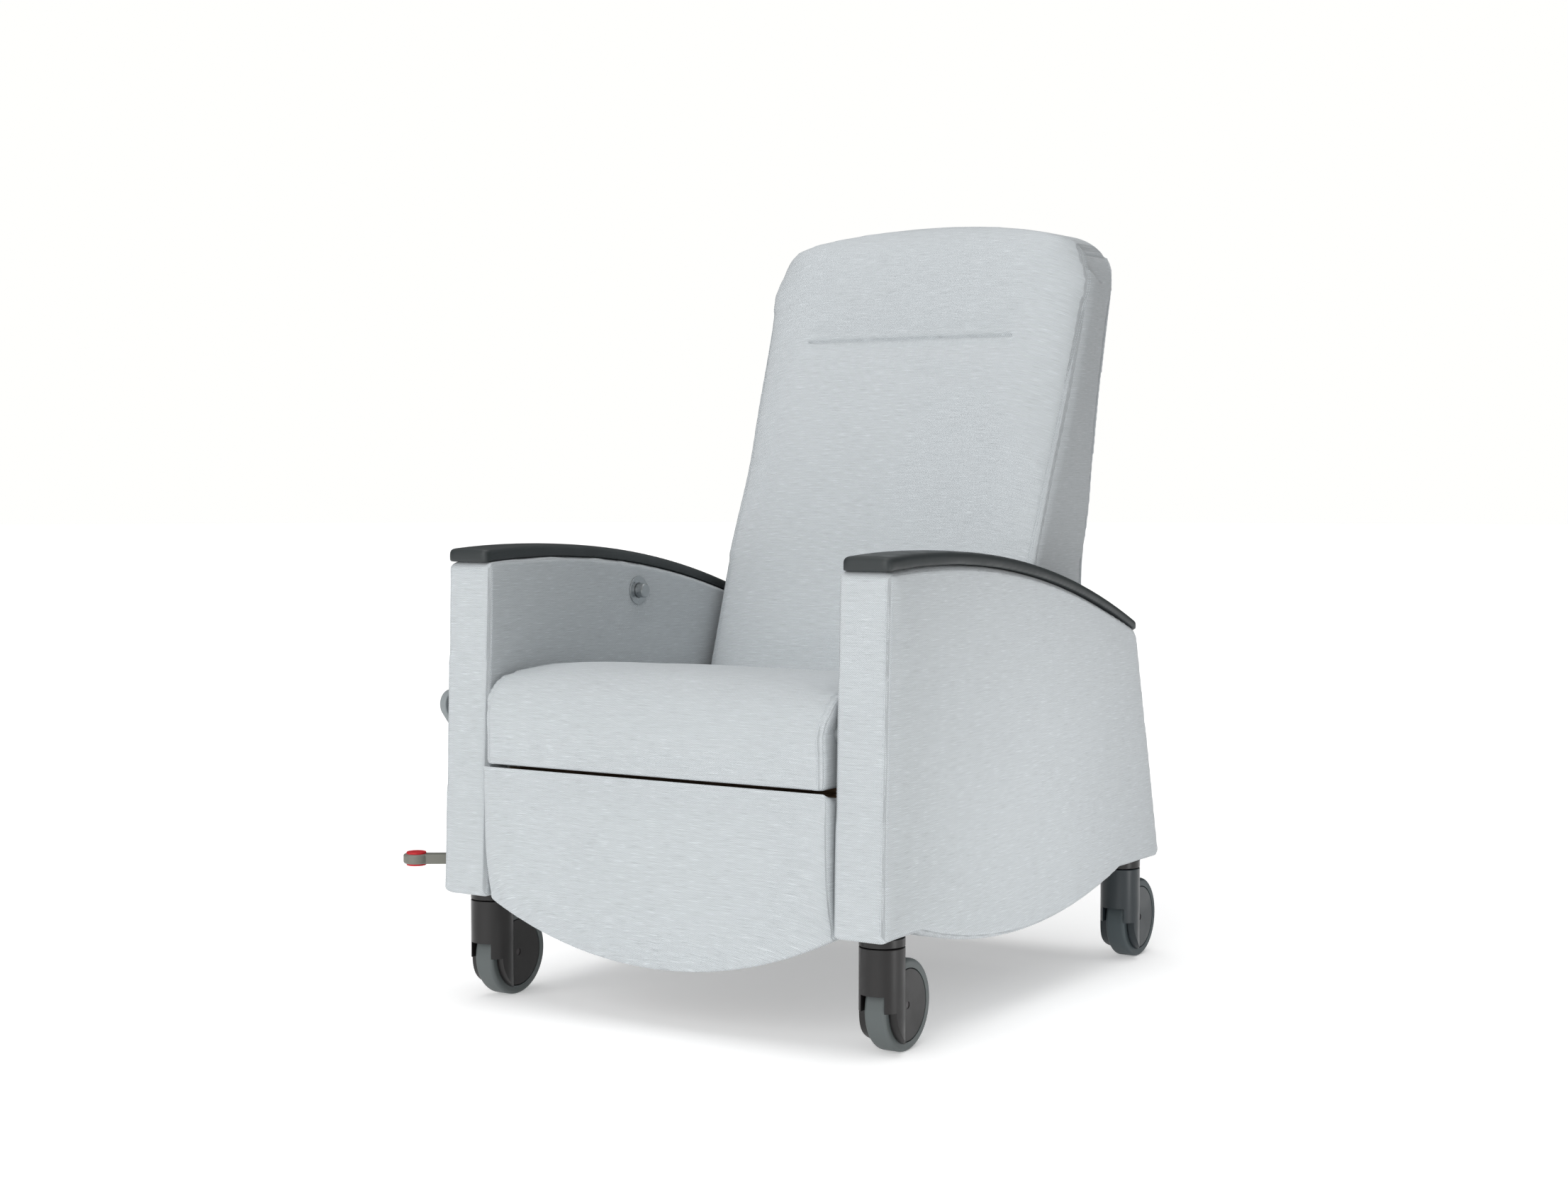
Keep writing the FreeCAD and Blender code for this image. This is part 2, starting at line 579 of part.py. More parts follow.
# ---- recline gas spring, drawn along +Y from its tail pin and then laid in place ----
def spring_place(shape):
    tilt = math.degrees(math.atan2(CRANK_Z - ANCHOR_Z, CRANK_Y - ANCHOR_Y))
    shape = shape.copy()
    shape.rotate(V(0, 0, 0), V(1, 0, 0), tilt)
    shape.translate(V(0, ANCHOR_Y, ANCHOR_Z))
    return shape


def recline_cylinder():
    bore = CYLINDER_R - CYLINDER_WALL
    body = fuse(rod_y(14, CYLINDER_END, 0, 0, CYLINDER_R), rod_x(-6, 6, 0, 0, 12), box(-6, 6, 0, 20, -8, 8))
    hollow = rod_y(28, CYLINDER_END - 8, 0, 0, bore)
    neck = rod_y(CYLINDER_END - 10, CYLINDER_END + 1, 0, 0, ROD_R + RUNNING)
    return spring_place(cut(body, hollow, neck, rod_x(-7, 7, 0, 0, ROD_R + RUNNING)))


def recline_rod():
    length = math.dist((ANCHOR_Y, ANCHOR_Z), (CRANK_Y, CRANK_Z))
    piston = rod_y(PISTON_AT, PISTON_AT + 10, 0, 0, CYLINDER_R - CYLINDER_WALL - RUNNING)
    shank = rod_y(PISTON_AT, length - 8, 0, 0, ROD_R)
    rod = fuse(piston, shank, rod_x(-6, 6, length, 0, 12))
    return spring_place(cut(rod, rod_x(-7, 7, length, 0, OPEN_EYE_R)))


# ---- leg rest ----
def leg_outline(low, high, half, inset):
    """The panel's front view: straight sides and a bowed lower edge, pushed from low to high in y."""
    corner, lowest = LEG_CORNER_Z + inset, LEG_LOW_Z + inset
    return slab(
        "xz", low, high,
        (-half, LEG_TOP), (-half, corner), ((0.0, lowest), (half, corner)), (half, LEG_TOP),
    )


def leg_clearance():
    return rod_x(-FAR, FAR, LEG_Y, LEG_Z, LEG_CLEAR_R)


def legrest_pad():
    return cut(leg_outline(PAD_FRONT, PAD_REAR, LEG_HALF, 0.0), leg_clearance())


def legrest_board():
    board = cut(leg_outline(PAD_REAR, BOARD_REAR, BOARD_HALF, 6.0), leg_clearance())
    notch = box(BOARD_NOTCH_HALF, LEG_HALF, PAD_REAR - 1, BOARD_REAR + 1, 0, BOARD_NOTCH_Z)
    return cut(board, notch, mirrored(notch), *legrest_screws())


def legrest_bracket():
    """A cranked side plate from the pivot pin down to a flange on the board."""
    eye, knee, foot = (LEG_Y, LEG_Z), (-384.0, 385.0), (-384.0, 252.0)
    plate = fuse(
        strip(BRACKET_IN, BRACKET_OUT, eye, knee, BRACKET_EYE_R, 8),
        strip(BRACKET_IN, BRACKET_OUT, knee, foot, 8, 7.99),
    )
    plate = cut(plate, box(BRACKET_IN - 1, BRACKET_OUT + 1, BOARD_REAR - 30, BOARD_REAR, 244, 345))
    flange = box(256, BRACKET_OUT, BOARD_REAR, BOARD_REAR + 3, 246, 340)
    hole = rod_x(BRACKET_IN - 1, BRACKET_OUT + 1, *eye, LEG_PIN_R + RUNNING)
    return cut(fuse(plate, flange), hole, *legrest_screws()[:3])


def legrest_screws():
    """Three countersunk-pattern screws each side, the left three first."""
    screws = []
    for x in (269.0, -269.0):
        for z in (260.0, 293.0, 326.0):
            shank = rod_y(BOARD_REAR - 10, BOARD_REAR + 3, x, z, 2.5)
            head = rod_y(BOARD_REAR + 3, BOARD_REAR + 6, x, z, 5)
            screws.append(fuse(shank, head))
    return screws


def legrest_pin():
    shank = rod_x(BRACKET_IN - 3.5, ARM_IN + ARM_WALL, LEG_Y, LEG_Z, LEG_PIN_R)
    return fuse(shank, rod_x(BRACKET_IN - 3.5, BRACKET_IN - 0.5, LEG_Y, LEG_Z, PIN_HEAD_R))


# ---- recline button ----

def button_bezel():
    face = -ARM_IN
    disc = rod_x(face, face + BEZEL_THICK, BUTTON_Y, BUTTON_Z, BEZEL_R)
    disc = softened(disc, 0.6, outer_edge("X", face + BEZEL_THICK))
    hole = rod_x(face - 1, face + 3, BUTTON_Y, BUTTON_Z, BEZEL_HOLE_R)
    screw_hole = rod_x(face - 1, face + 3, BUTTON_Y - 12.3, BUTTON_Z + 12.3, 1.3)
    return cut(disc, hole, screw_hole)


def button_sleeve():
    face = -ARM_IN
    bottom = face - SLEEVE_DEPTH
    cup = rod_x(bottom, face, BUTTON_Y, BUTTON_Z, SLEEVE_R)
    return cut(cup, rod_x(bottom + 2, face + 1, BUTTON_Y, BUTTON_Z, BEZEL_HOLE_R))


def recline_button():
    face = -ARM_IN
    inner_end = face - SLEEVE_DEPTH + 2 + BUTTON_TRAVEL + 0.5
    plunger = rod_x(inner_end, face + BUTTON_OUT, BUTTON_Y, BUTTON_Z, BUTTON_R)
    end = outer_edge("X", face + BUTTON_OUT)
    return plunger.makeChamfer(1.6, [edge for edge in plunger.Edges if end(edge)])


# ---- leg rest release lever ----

def lever_bush():
    outside = -ARM_OUT
    bush = fuse(
        rod_x(outside - 2, outside + ARM_WALL, LEVER_HUB_Y, LEVER_HUB_Z, LEVER_BUSH_R),
        rod_x(outside - 2, outside, LEVER_HUB_Y, LEVER_HUB_Z, 15),
    )
    through = (outside - 3, outside + ARM_WALL + 1)
    return cut(bush, rod_x(*through, LEVER_HUB_Y, LEVER_HUB_Z, LEVER_SHAFT_R + RUNNING))


def lever_shaft():
    collar = rod_x(-ARM_OUT + ARM_WALL + 0.5, -ARM_OUT + ARM_WALL + 4.5, LEVER_HUB_Y, LEVER_HUB_Z, 8)
    shank = rod_x(LEVER_FACE + 4, -ARM_OUT + ARM_WALL + 4.5, LEVER_HUB_Y, LEVER_HUB_Z, LEVER_SHAFT_R)
    return fuse(shank, collar)


def legrest_lever():
    inner = LEVER_FACE + LEVER_THICK
    hub, tip = (LEVER_HUB_Y, LEVER_HUB_Z), (LEVER_TIP_Y, LEVER_TIP_Z)
    paddle = strip(LEVER_FACE, inner, hub, tip, LEVER_HUB_R, LEVER_TIP_R)
    paddle = softened(paddle, 4.0, outer_edge("X", LEVER_FACE))
    paddle = softened(paddle, 2.5, outer_edge("X", inner))
    neck = rod_x(inner - 1, -ARM_OUT - 2.4, *hub, 12)
    return cut(fuse(paddle, neck), lever_shaft())


# ---- central brake ----

def brake_bar(left_end, right_end, y):
    return hexagon_x(left_end, right_end, y, BAR_Z, BAR_FLATS)


def brake_cams(y):
    """A hexagon-bored cam inside each stem, and the arm that carries the link's pin."""
    bore = hexagon_x(-FAR, FAR, y, BAR_Z, BAR_FLATS)
    cam = rod_x(CASTER_X - 12, CASTER_X + 12, y, BAR_Z, CAM_R)
    arm = strip(LINK_X - 7, LINK_X - 1, (y, BAR_Z), (y, BAR_Z - BAR_ARM), 11, 7)
    pin = rod_x(LINK_X - 7, LINK_X + 9, y, BAR_Z - BAR_ARM, LINK_PIN_R)
    return [cut(cam, bore), cut(mirrored(cam), bore), cut(fuse(arm, pin), bore)]


def brake_link():
    """A flat bar between the two pin arms, with clearance eyes."""
    z = BAR_Z - BAR_ARM
    bar = box(LINK_X, LINK_X + 6, -CASTER_Y, CASTER_Y, z - 6, z + 6)
    eyes = [rod_x(LINK_X, LINK_X + 6, y, z, LINK_EYE_R + 3.5) for y in (-CASTER_Y, CASTER_Y)]
    holes = [rod_x(LINK_X - 1, LINK_X + 7, y, z, LINK_EYE_R) for y in (-CASTER_Y, CASTER_Y)]
    return cut(fuse(bar, *eyes), *holes)


def brake_bush():
    """The flanged bush where the bar leaves the right arm."""
    outside = -ARM_OUT
    bush = fuse(
        rod_x(outside - 1.6, outside + ARM_WALL, -CASTER_Y, BAR_Z, BAR_BUSH_R),
        rod_x(outside - 1.6, outside, -CASTER_Y, BAR_Z, 15),
    )
    return cut(bush, rod_x(outside - 3, outside + ARM_WALL + 1, -CASTER_Y, BAR_Z, 6.6))


def brake_pedal():
    """A hub on the bar, a flat arm forward, and a round foot plate."""
    hub_out, hub_in = PEDAL_HUB_OUT, -ARM_OUT - 2.0
    hub = rod_x(hub_out, hub_in, -CASTER_Y, BAR_Z, 13)
    hub = softened(hub, 2.0, outer_edge("X", hub_out))
    arm = rounded("xy", PEDAL_Z - PEDAL_HALF, PEDAL_Z + PEDAL_HALF,
                  (hub_out + 1, -CASTER_Y + 8, 3), (hub_out + 17, -CASTER_Y + 8, 3),
                  (hub_out + 17, -CASTER_Y - 26, 8), (PEDAL_X + 8, PEDAL_Y - 9, 4),
                  (PEDAL_X - 2, PEDAL_Y + 9, 4), (hub_out + 1, -CASTER_Y - 14, 8))
    plate = rod_z(PEDAL_Z - PEDAL_HALF, PEDAL_Z + PEDAL_HALF, PEDAL_X, PEDAL_Y, PEDAL_R)
    plate = softened(plate, 3.0, lambda edge: edge.BoundBox.ZLength < 1e-4)
    seat = rod_z(PEDAL_Z + PAD_SEAT, PEDAL_Z + PEDAL_HALF + 1, PEDAL_X, PEDAL_Y, PAD_R)
    seats = [seat, seat.mirror(V(0, 0, PEDAL_Z), V(0, 0, 1))]
    bore = hexagon_x(-FAR, FAR, -CASTER_Y, BAR_Z, BAR_FLATS)
    return cut(fuse(hub, arm, plate), *seats, bore)


def pedal_pads():
    """Ribbed rubber pads let into the foot plate's top and underside."""
    rim_z = PEDAL_Z + PAD_TOP
    top = rod_z(PEDAL_Z + PAD_SEAT, rim_z, PEDAL_X, PEDAL_Y, PAD_R)
    top = softened(top, 1.0, outer_edge("Z", rim_z))
    reach = PAD_R + 1
    for offset in (-9, -4.5, 0, 4.5, 9):
        y = PEDAL_Y + offset
        groove = box(PEDAL_X - reach, PEDAL_X + reach, y - PAD_GROOVE, y + PAD_GROOVE, rim_z - 1, rim_z + 1)
        top = cut(top, groove)
    under = top.mirror(V(0, 0, PEDAL_Z), V(0, 0, 1))
    return [top, under]


# ---- casters, drawn about their own swivel axis ----
def caster_housing():
    """A round leg that straddles the wheel, with a fixed cover disc each side of the hub."""
    axle = (WHEEL_TRAIL, WHEEL_R)
    leg = rod_z(0, HOUSING_TOP, 0, 0, HOUSING_R)
    leg = softened(leg, 1.2, outer_edge("Z", HOUSING_TOP))
    keep = fuse(box(-40, 40, -40, 40, WHEEL_R, HOUSING_TOP + 1), rod_x(-40, 40, *axle, LEG_TRIM_R))
    leg = leg.common(keep)
    mouth = box(-SLOT_HALF, SLOT_HALF, -40, 40, -1, SLOT_FRONT_TOP)
    arch = rod_x(-SLOT_HALF, SLOT_HALF, *axle, SLOT_R)
    leg = cut(leg, mouth, arch)
    parts = [leg]
    for side in (1, -1):
        low, high = sorted((side * DISC_IN, side * DISC_OUT))
        disc = rod_x(low, high, *axle, DISC_R)
        parts.append(softened(disc, 0.8, outer_edge("X", side * DISC_OUT)))
        low, high = sorted((side * DISC_IN, side * (SLOT_HALF + 1)))
        web = rod_x(low, high, *axle, DISC_R - 1).common(rod_z(0, HOUSING_TOP, 0, 0, HOUSING_R))
        parts.append(web)
    return cut(
        fuse(*parts),
        rod_x(-40, 40, *axle, AXLE_R),
        rod_z(SPIGOT_BOTTOM - 0.5, HOUSING_TOP + 1, 0, 0, SPIGOT_R + RUNNING),
    )


def caster_axle():
    return rod_x(-DISC_OUT + 1, DISC_OUT - 1, WHEEL_TRAIL, WHEEL_R, AXLE_R)


def wheel_hub():
    hub = rod_x(-HUB_HALF, HUB_HALF, WHEEL_TRAIL, WHEEL_R, TYRE_INNER_R)
    return cut(hub, rod_x(-HUB_HALF - 1, HUB_HALF + 1, WHEEL_TRAIL, WHEEL_R, AXLE_R + RUNNING))


def tyre():
    ring = rod_x(-TYRE_HALF, TYRE_HALF, WHEEL_TRAIL, WHEEL_R, WHEEL_R)
    ring = softened(ring, TYRE_SHOULDER, lambda edge: edge.BoundBox.XLength < 1e-4)
    return cut(ring, rod_x(-TYRE_HALF - 1, TYRE_HALF + 1, WHEEL_TRAIL, WHEEL_R, TYRE_INNER_R))


def caster_stem(x, y):
    """The fixed stem: clamped in its socket, bored across for the cam, with a spigot for the swivel."""
    stem = rod_z(COLLAR_BOTTOM, STEM_TOP, x, y, STEM_R)
    spigot = rod_z(SPIGOT_BOTTOM, COLLAR_BOTTOM + 1, x, y, SPIGOT_R)
    return cut(fuse(stem, spigot), rod_x(x - 20, x + 20, y, BAR_Z, CAM_R + RUNNING))


def caster_collar(x, y):
    ring = softened(rod_z(COLLAR_BOTTOM, COLLAR_TOP, x, y, HOUSING_R), 0.8, outer_edge("Z", COLLAR_BOTTOM))
    return cut(ring, rod_z(COLLAR_BOTTOM - 1, COLLAR_TOP + 1, x, y, STEM_R))


def caster_places():
    """Each caster's name and swivel axis."""
    return {
        "front_left": (CASTER_X, -CASTER_Y), "front_right": (-CASTER_X, -CASTER_Y),
        "rear_left": (CASTER_X, CASTER_Y), "rear_right": (-CASTER_X, CASTER_Y),
    }


def at_place(shape, place):
    moved = shape.copy()
    moved.translate(V(*place, 0))
    return moved


# ---- lower rear panel ----
def rear_valance():
    """A padded board between the arms at the lower rear, parallel to the arms' rear edge."""
    lean = (ARM_REAR_BOTTOM_Y - ARM_REAR_TOP_Y) / (ARM_REAR_TOP_Z - ARM_BOTTOM_Z)
    low_y = ARM_REAR_BOTTOM_Y - VALANCE_INSET - lean * (VALANCE_LOW - ARM_BOTTOM_Z)
    high_y = ARM_REAR_BOTTOM_Y - VALANCE_INSET - lean * (VALANCE_HIGH - ARM_BOTTOM_Z)
    return rounded(
        "yz", -VALANCE_HALF, VALANCE_HALF,
        (low_y, VALANCE_LOW, 5), (high_y, VALANCE_HIGH, 5),
        (high_y - VALANCE_THICK, VALANCE_HIGH, 2), (low_y - VALANCE_THICK, VALANCE_LOW, 2),
    )


def main():
    save("side_frame_left", side_frame())
    save("side_frame_right", mirrored(side_frame()))
    save("cross_tubes", cross_tubes())
    save("spring_anchor", spring_anchor())
    save("seat_brackets", both(seat_bracket()))
    save("seat_frame", seat_frame())
    save("seat_springs", [sinuous_spring(x) for x in SPRING_X])
    save("seat_cushion", seat_cushion())
    save("arm_cover_left", arm_cover())
    save("arm_cover_right", right_arm_cover())
    save("arm_cap_left", arm_cap())
    save("arm_cap_right", mirrored(arm_cap()))
    save("cap_screws", [side for screw in cap_screws() for side in both(screw)])
    save("rear_valance", rear_valance())
    save("caster_stems", [caster_stem(*place) for place in caster_places().values()])
    save("caster_collars", [caster_collar(*place) for place in caster_places().values()])
    save("back_pivot_bushes", both(pivot_bush()))
    save("legrest_pivot_pins", both(legrest_pin()))
    save("button_bezel", button_bezel())
    save("button_sleeve", button_sleeve())
    save("lever_bush", lever_bush())
    save("brake_bush", brake_bush())

    save("back_frame", back_frame())
    save("back_webbing", back_webbing())
    save("back_cushion", back_cushion())
    save("back_rear_panel", back_rear_panel())
    save("back_pivot_shaft", pivot_shaft())
    save("recline_crank", recline_crank())
    save("recline_cylinder", recline_cylinder())
    save("recline_rod", recline_rod())
    save("recline_button", recline_button())

    save("legrest_board", legrest_board())
    save("legrest_pad", legrest_pad())
    save("legrest_brackets", both(legrest_bracket()))
    save("legrest_screws", legrest_screws())
    save("legrest_lever", legrest_lever())
    save("lever_shaft", lever_shaft())

    save("brake_pedal", brake_pedal())
    save("pedal_pads", pedal_pads())
    save("front_brake_bar", brake_bar(PEDAL_HUB_OUT + 1, CASTER_X + 18, -CASTER_Y))
    save("front_brake_cams", brake_cams(-CASTER_Y))
    save("rear_brake_bar", brake_bar(-CASTER_X - 18, CASTER_X + 18, CASTER_Y))
    save("rear_brake_cams", brake_cams(CASTER_Y))
    save("brake_link", brake_link())

    wheel_parts = {
        "caster_housing": caster_housing(), "caster_axle": caster_axle(),
        "wheel_hub": wheel_hub(), "tyre": tyre(),
    }
    for place_name, place in caster_places().items():
        for part_name, shape in wheel_parts.items():
            save(f"{part_name}_{place_name}", at_place(shape, place))


main()
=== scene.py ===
import math

import bmesh
import bpy
import numpy as np
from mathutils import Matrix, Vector
from mathutils.bvhtree import BVHTree
from mathutils.kdtree import KDTree


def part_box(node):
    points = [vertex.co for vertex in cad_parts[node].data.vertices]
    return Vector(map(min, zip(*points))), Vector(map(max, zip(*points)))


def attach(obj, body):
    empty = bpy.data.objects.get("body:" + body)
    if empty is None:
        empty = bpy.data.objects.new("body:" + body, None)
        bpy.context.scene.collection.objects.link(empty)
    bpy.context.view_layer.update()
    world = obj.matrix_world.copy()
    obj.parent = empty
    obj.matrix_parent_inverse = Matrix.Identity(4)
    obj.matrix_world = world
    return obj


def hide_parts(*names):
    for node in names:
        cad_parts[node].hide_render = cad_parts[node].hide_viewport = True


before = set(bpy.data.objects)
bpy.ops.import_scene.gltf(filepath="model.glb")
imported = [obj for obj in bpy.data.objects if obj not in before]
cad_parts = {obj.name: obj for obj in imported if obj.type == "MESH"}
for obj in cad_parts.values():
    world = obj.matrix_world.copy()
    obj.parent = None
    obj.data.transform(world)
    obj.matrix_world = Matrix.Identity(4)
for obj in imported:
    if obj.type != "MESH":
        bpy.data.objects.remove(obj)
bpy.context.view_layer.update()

# Patient recliner chair: upholstery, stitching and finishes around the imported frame. Metres.
MM = 0.001

# ---- driving dimensions of the looks ----
# Cell sizes of the remeshed covers.
VOXEL = {
    "seat": 6 * MM, "back": 7 * MM, "legrest": 5.5 * MM, "arm": 6.5 * MM,
    "outside_back": 2.2 * MM, "valance": 3.6 * MM, "cap": 2.6 * MM}
# The cloth simulation: its pressure, its frames and the share of freedom under which the cover is pinned.
PRESSURE = 4.0
SIM_FRAMES = 20
PINNED_UNDER = 0.02
# Thread: how far a row runs beside its seam, how often it shows, for how long, and its radius.
STITCH_OFFSET, STITCH_PITCH, STITCH_LENGTH = 5.0 * MM, 4.4 * MM, 3.0 * MM
BACK_STITCH_OFFSET = 1.8 * MM
THREAD = 0.42 * MM
# Cloth: the pitch of its diagonal ribs and of its threads, and its colour.
TWILL_PITCH = 2.8 * MM
THREAD_PITCH = 1.4 * MM
CLOTH = "babfc2"
# The back: how far it leans for each metre up, the radius of its arched top edge, how much narrower it gets
# for each metre down, the heights over which its sides come out above the arms, and over which they run
# into the shoulders.
BACK_LEAN = 0.339
BACK_ARCH = 1078 * MM
BACK_TAPER = 0.0168
ABOVE_ARMS = (600 * MM, 750 * MM)
UNDER_SHOULDERS = (1050 * MM, 1120 * MM)
# Strengths of the lights.
SKY, FRONT, FRONT_RIGHT, FRONT_LOW, TOP = 0.43, 1.70, 0.25, 0.45, 1.35
REFLECTOR, FLOOR_GLOW = 1.35, 0.34
# The camera: lens and sensor in millimetres, place in metres, turns about x and z in degrees.
LENS, SENSOR = 54.12, 36.0
CAMERA_PLACE = (1.88226, -3.0549, 0.76227)
CAMERA_TURNS = (87.36, 32.48)


# ---- mesh tools ----
def points_of(mesh):
    co = np.empty(len(mesh.vertices) * 3)
    mesh.vertices.foreach_get("co", co)
    return co.reshape(-1, 3)


def normals_of(mesh):
    n = np.empty(len(mesh.vertices) * 3)
    mesh.vertices.foreach_get("normal", n)
    return n.reshape(-1, 3)


def move_points(mesh, co):
    mesh.vertices.foreach_set("co", co.ravel())
    mesh.update()


def new_piece(name, mesh):
    piece = bpy.data.objects.new(name, mesh)
    bpy.context.scene.collection.objects.link(piece)
    return piece


def with_modifier(piece, kind, **settings):
    """Adds one modifier, applies it to the mesh and removes it."""
    modifier = piece.modifiers.new(kind.lower(), kind)
    for key, value in settings.items():
        setattr(modifier, key, value)
    shown = piece.evaluated_get(bpy.context.evaluated_depsgraph_get())
    mesh = bpy.data.meshes.new_from_object(shown)
    piece.modifiers.clear()
    piece.data = mesh
    mesh.shade_smooth()
    return piece


def welded(node):
    """A bmesh of a CAD node with its split vertices joined again."""
    bm = bmesh.new()
    bm.from_mesh(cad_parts[node].data)
    bmesh.ops.remove_doubles(bm, verts=bm.verts, dist=0.01 * MM)
    bm.normal_update()
    return bm


def smoothstep(x, low, high):
    t = np.clip((x - low) / (high - low), 0, 1)
    return t * t * (3 - 2 * t)


def rim(node, facing, level=None):
    """The longest boundary of the faces that look along an axis, as a closed loop of points.
    level keeps only the faces at that place along the axis."""
    bm = welded(node)
    facing = Vector(facing)
    inside = set()
    for face in bm.faces:
        if face.normal.dot(facing) > 0.93:
            if level is None or abs(face.calc_center_median().dot(facing) - level) < 0.5 * MM:
                inside.add(face)
    edges = [e for e in bm.edges if sum(f in inside for f in e.link_faces) == 1]
    near = {}
    for e in edges:
        for v in e.verts:
            near.setdefault(v, []).append(e.other_vert(v))
    loops, seen = [], set()
    for start in near:
        if start in seen:
            continue
        loop, here = [start], start
        seen.add(start)
        while True:
            nexts = [v for v in near[here] if v not in seen]
            if not nexts:
                break
            here = nexts[0]
            seen.add(here)
            loop.append(here)
        loops.append(np.array([v.co[:] for v in loop]))
    bm.free()
    return max(loops, key=lambda points: np.linalg.norm(points - np.roll(points, 1, 0), axis=1).sum())


def resampled(points, pitch, closed=False):
    """The same line with points an even pitch apart."""
    line = np.vstack([points, points[:1]]) if closed else np.asarray(points, float)
    along = np.concatenate([[0], np.cumsum(np.linalg.norm(np.diff(line, axis=0), axis=1))])
    count = max(2, int(round(along[-1] / pitch)))
    at = np.linspace(0, along[-1], count + 1)
    even = np.column_stack([np.interp(at, along, line[:, i]) for i in range(3)])
    return even[:-1] if closed else even


def longest_run(loop, wanted):
    """The longest unbroken stretch of a closed loop whose points pass the test."""
    good = wanted(loop)
    if good.all():
        return loop
    start = int(np.argmin(good))
    loop, good = np.roll(loop, -start, 0), np.roll(good, -start)
    best, here = (0, 0), 0
    for i, ok in enumerate([*good, False]):
        if ok:
            continue
        if i - here > best[1] - best[0]:
            best = (here, i)
        here = i + 1
    return loop[best[0]:best[1]]


def prism(name, loop, x0, x1):
    """A closed solid between two x, from a loop in the side view."""
    bm = bmesh.new()
    sides = [[bm.verts.new((x, y, z)) for _, y, z in loop] for x in (x0, x1)]
    for side in sides:
        bm.faces.new(side)
    count = len(loop)
    for i in range(count):
        j = (i + 1) % count
        bm.faces.new((sides[0][i], sides[0][j], sides[1][j], sides[1][i]))
    bmesh.ops.recalc_face_normals(bm, faces=bm.faces)
    mesh = bpy.data.meshes.new(name)
    bm.to_mesh(mesh)
    bm.free()
    return new_piece(name, mesh)


def copy_of(name, node):
    bm = welded(node)
    mesh = bpy.data.meshes.new(name)
    bm.to_mesh(mesh)
    bm.free()
    return new_piece(name, mesh)


# ---- upholstering ----
def distance_to(lines, co):
    """How far each point is from a set of lines, and the nearest place on them."""
    dense = np.vstack([resampled(line, 1.5 * MM) for line in lines])
    tree = KDTree(len(dense))
    for i, p in enumerate(dense):
        tree.insert(p, i)
    tree.balance()
    found = [tree.find(p) for p in co]
    return np.array([f[2] for f in found]), dense[[f[1] for f in found]]


def swell(piece, give, cap, seams=(), seam_reach=14 * MM):
    """Fills the cover by cloth simulation under pressure, up to cap at most.
    give is 0 where the cover is held down and 1 where it is free. It is also held along the seams."""
    mesh = piece.data
    start = points_of(mesh)
    free = np.clip(give(start, normals_of(mesh)), 0, 1)
    if seams:
        far, _ = distance_to(seams, start)
        free = free * smoothstep(far, 2 * MM, seam_reach)
    held = piece.vertex_groups.new(name="held")
    held.add(np.flatnonzero(free < PINNED_UNDER).tolist(), 1.0, "REPLACE")
    cloth = piece.modifiers.new("cloth", "CLOTH")
    cloth.settings.vertex_group_mass = held.name
    cloth.settings.use_pressure = True
    cloth.settings.uniform_pressure_force = PRESSURE
    cloth.settings.effector_weights.gravity = 0
    cloth.settings.quality = 5
    cloth.point_cache.frame_start, cloth.point_cache.frame_end = 1, SIM_FRAMES
    for number in range(1, SIM_FRAMES + 1):
        bpy.context.scene.frame_set(number)
    shown = piece.evaluated_get(bpy.context.evaluated_depsgraph_get())
    end = points_of(shown.data)
    piece.modifiers.clear()
    piece.vertex_groups.clear()
    bpy.context.scene.frame_set(1)
    shift = end - start
    length = np.linalg.norm(shift, axis=1)
    kept = cap * (1 - np.exp(-length / cap)) / np.maximum(length, 1e-9)
    move_points(mesh, start + shift * (kept * free)[:, None])


def smooth(piece, times):
    return with_modifier(piece, "SMOOTH", factor=0.5, iterations=times)


def relaxed(piece, lines, near, far, times):
    """Rounds the skin along some lines: fully within near of them, not at all beyond far."""
    gap, _ = distance_to(lines, points_of(piece.data))
    group = piece.vertex_groups.new(name="edge")
    weight = 1 - smoothstep(gap, near, far)
    for i in np.flatnonzero(weight > 0.01):
        group.add([int(i)], float(weight[i]), "REPLACE")
    with_modifier(piece, "SMOOTH", factor=0.5, iterations=times, vertex_group=group.name)
    piece.vertex_groups.clear()


def crisp(co, one, other, radius, where=True, power=9):
    """Squares off the rounding between two flat faces.
    Each face is given by its axis, its place and the inward sign."""
    share = []
    for axis, place, inward in (one, other):
        share.append(1 - inward * (co[:, axis] - place) / radius)
    a, b = share
    near = (a > 0) & (b > 0) & (np.hypot(a, b) < 1.4) & where
    a, b = np.where(near, a, 0.5), np.where(near, b, 0.5)
    push = np.hypot(a, b) / (a ** power + b ** power) ** (1 / power)
    for (axis, place, inward), part in ((one, a), (other, b)):
        co[:, axis] = np.where(near, place + inward * (1 - part * push) * radius, co[:, axis])


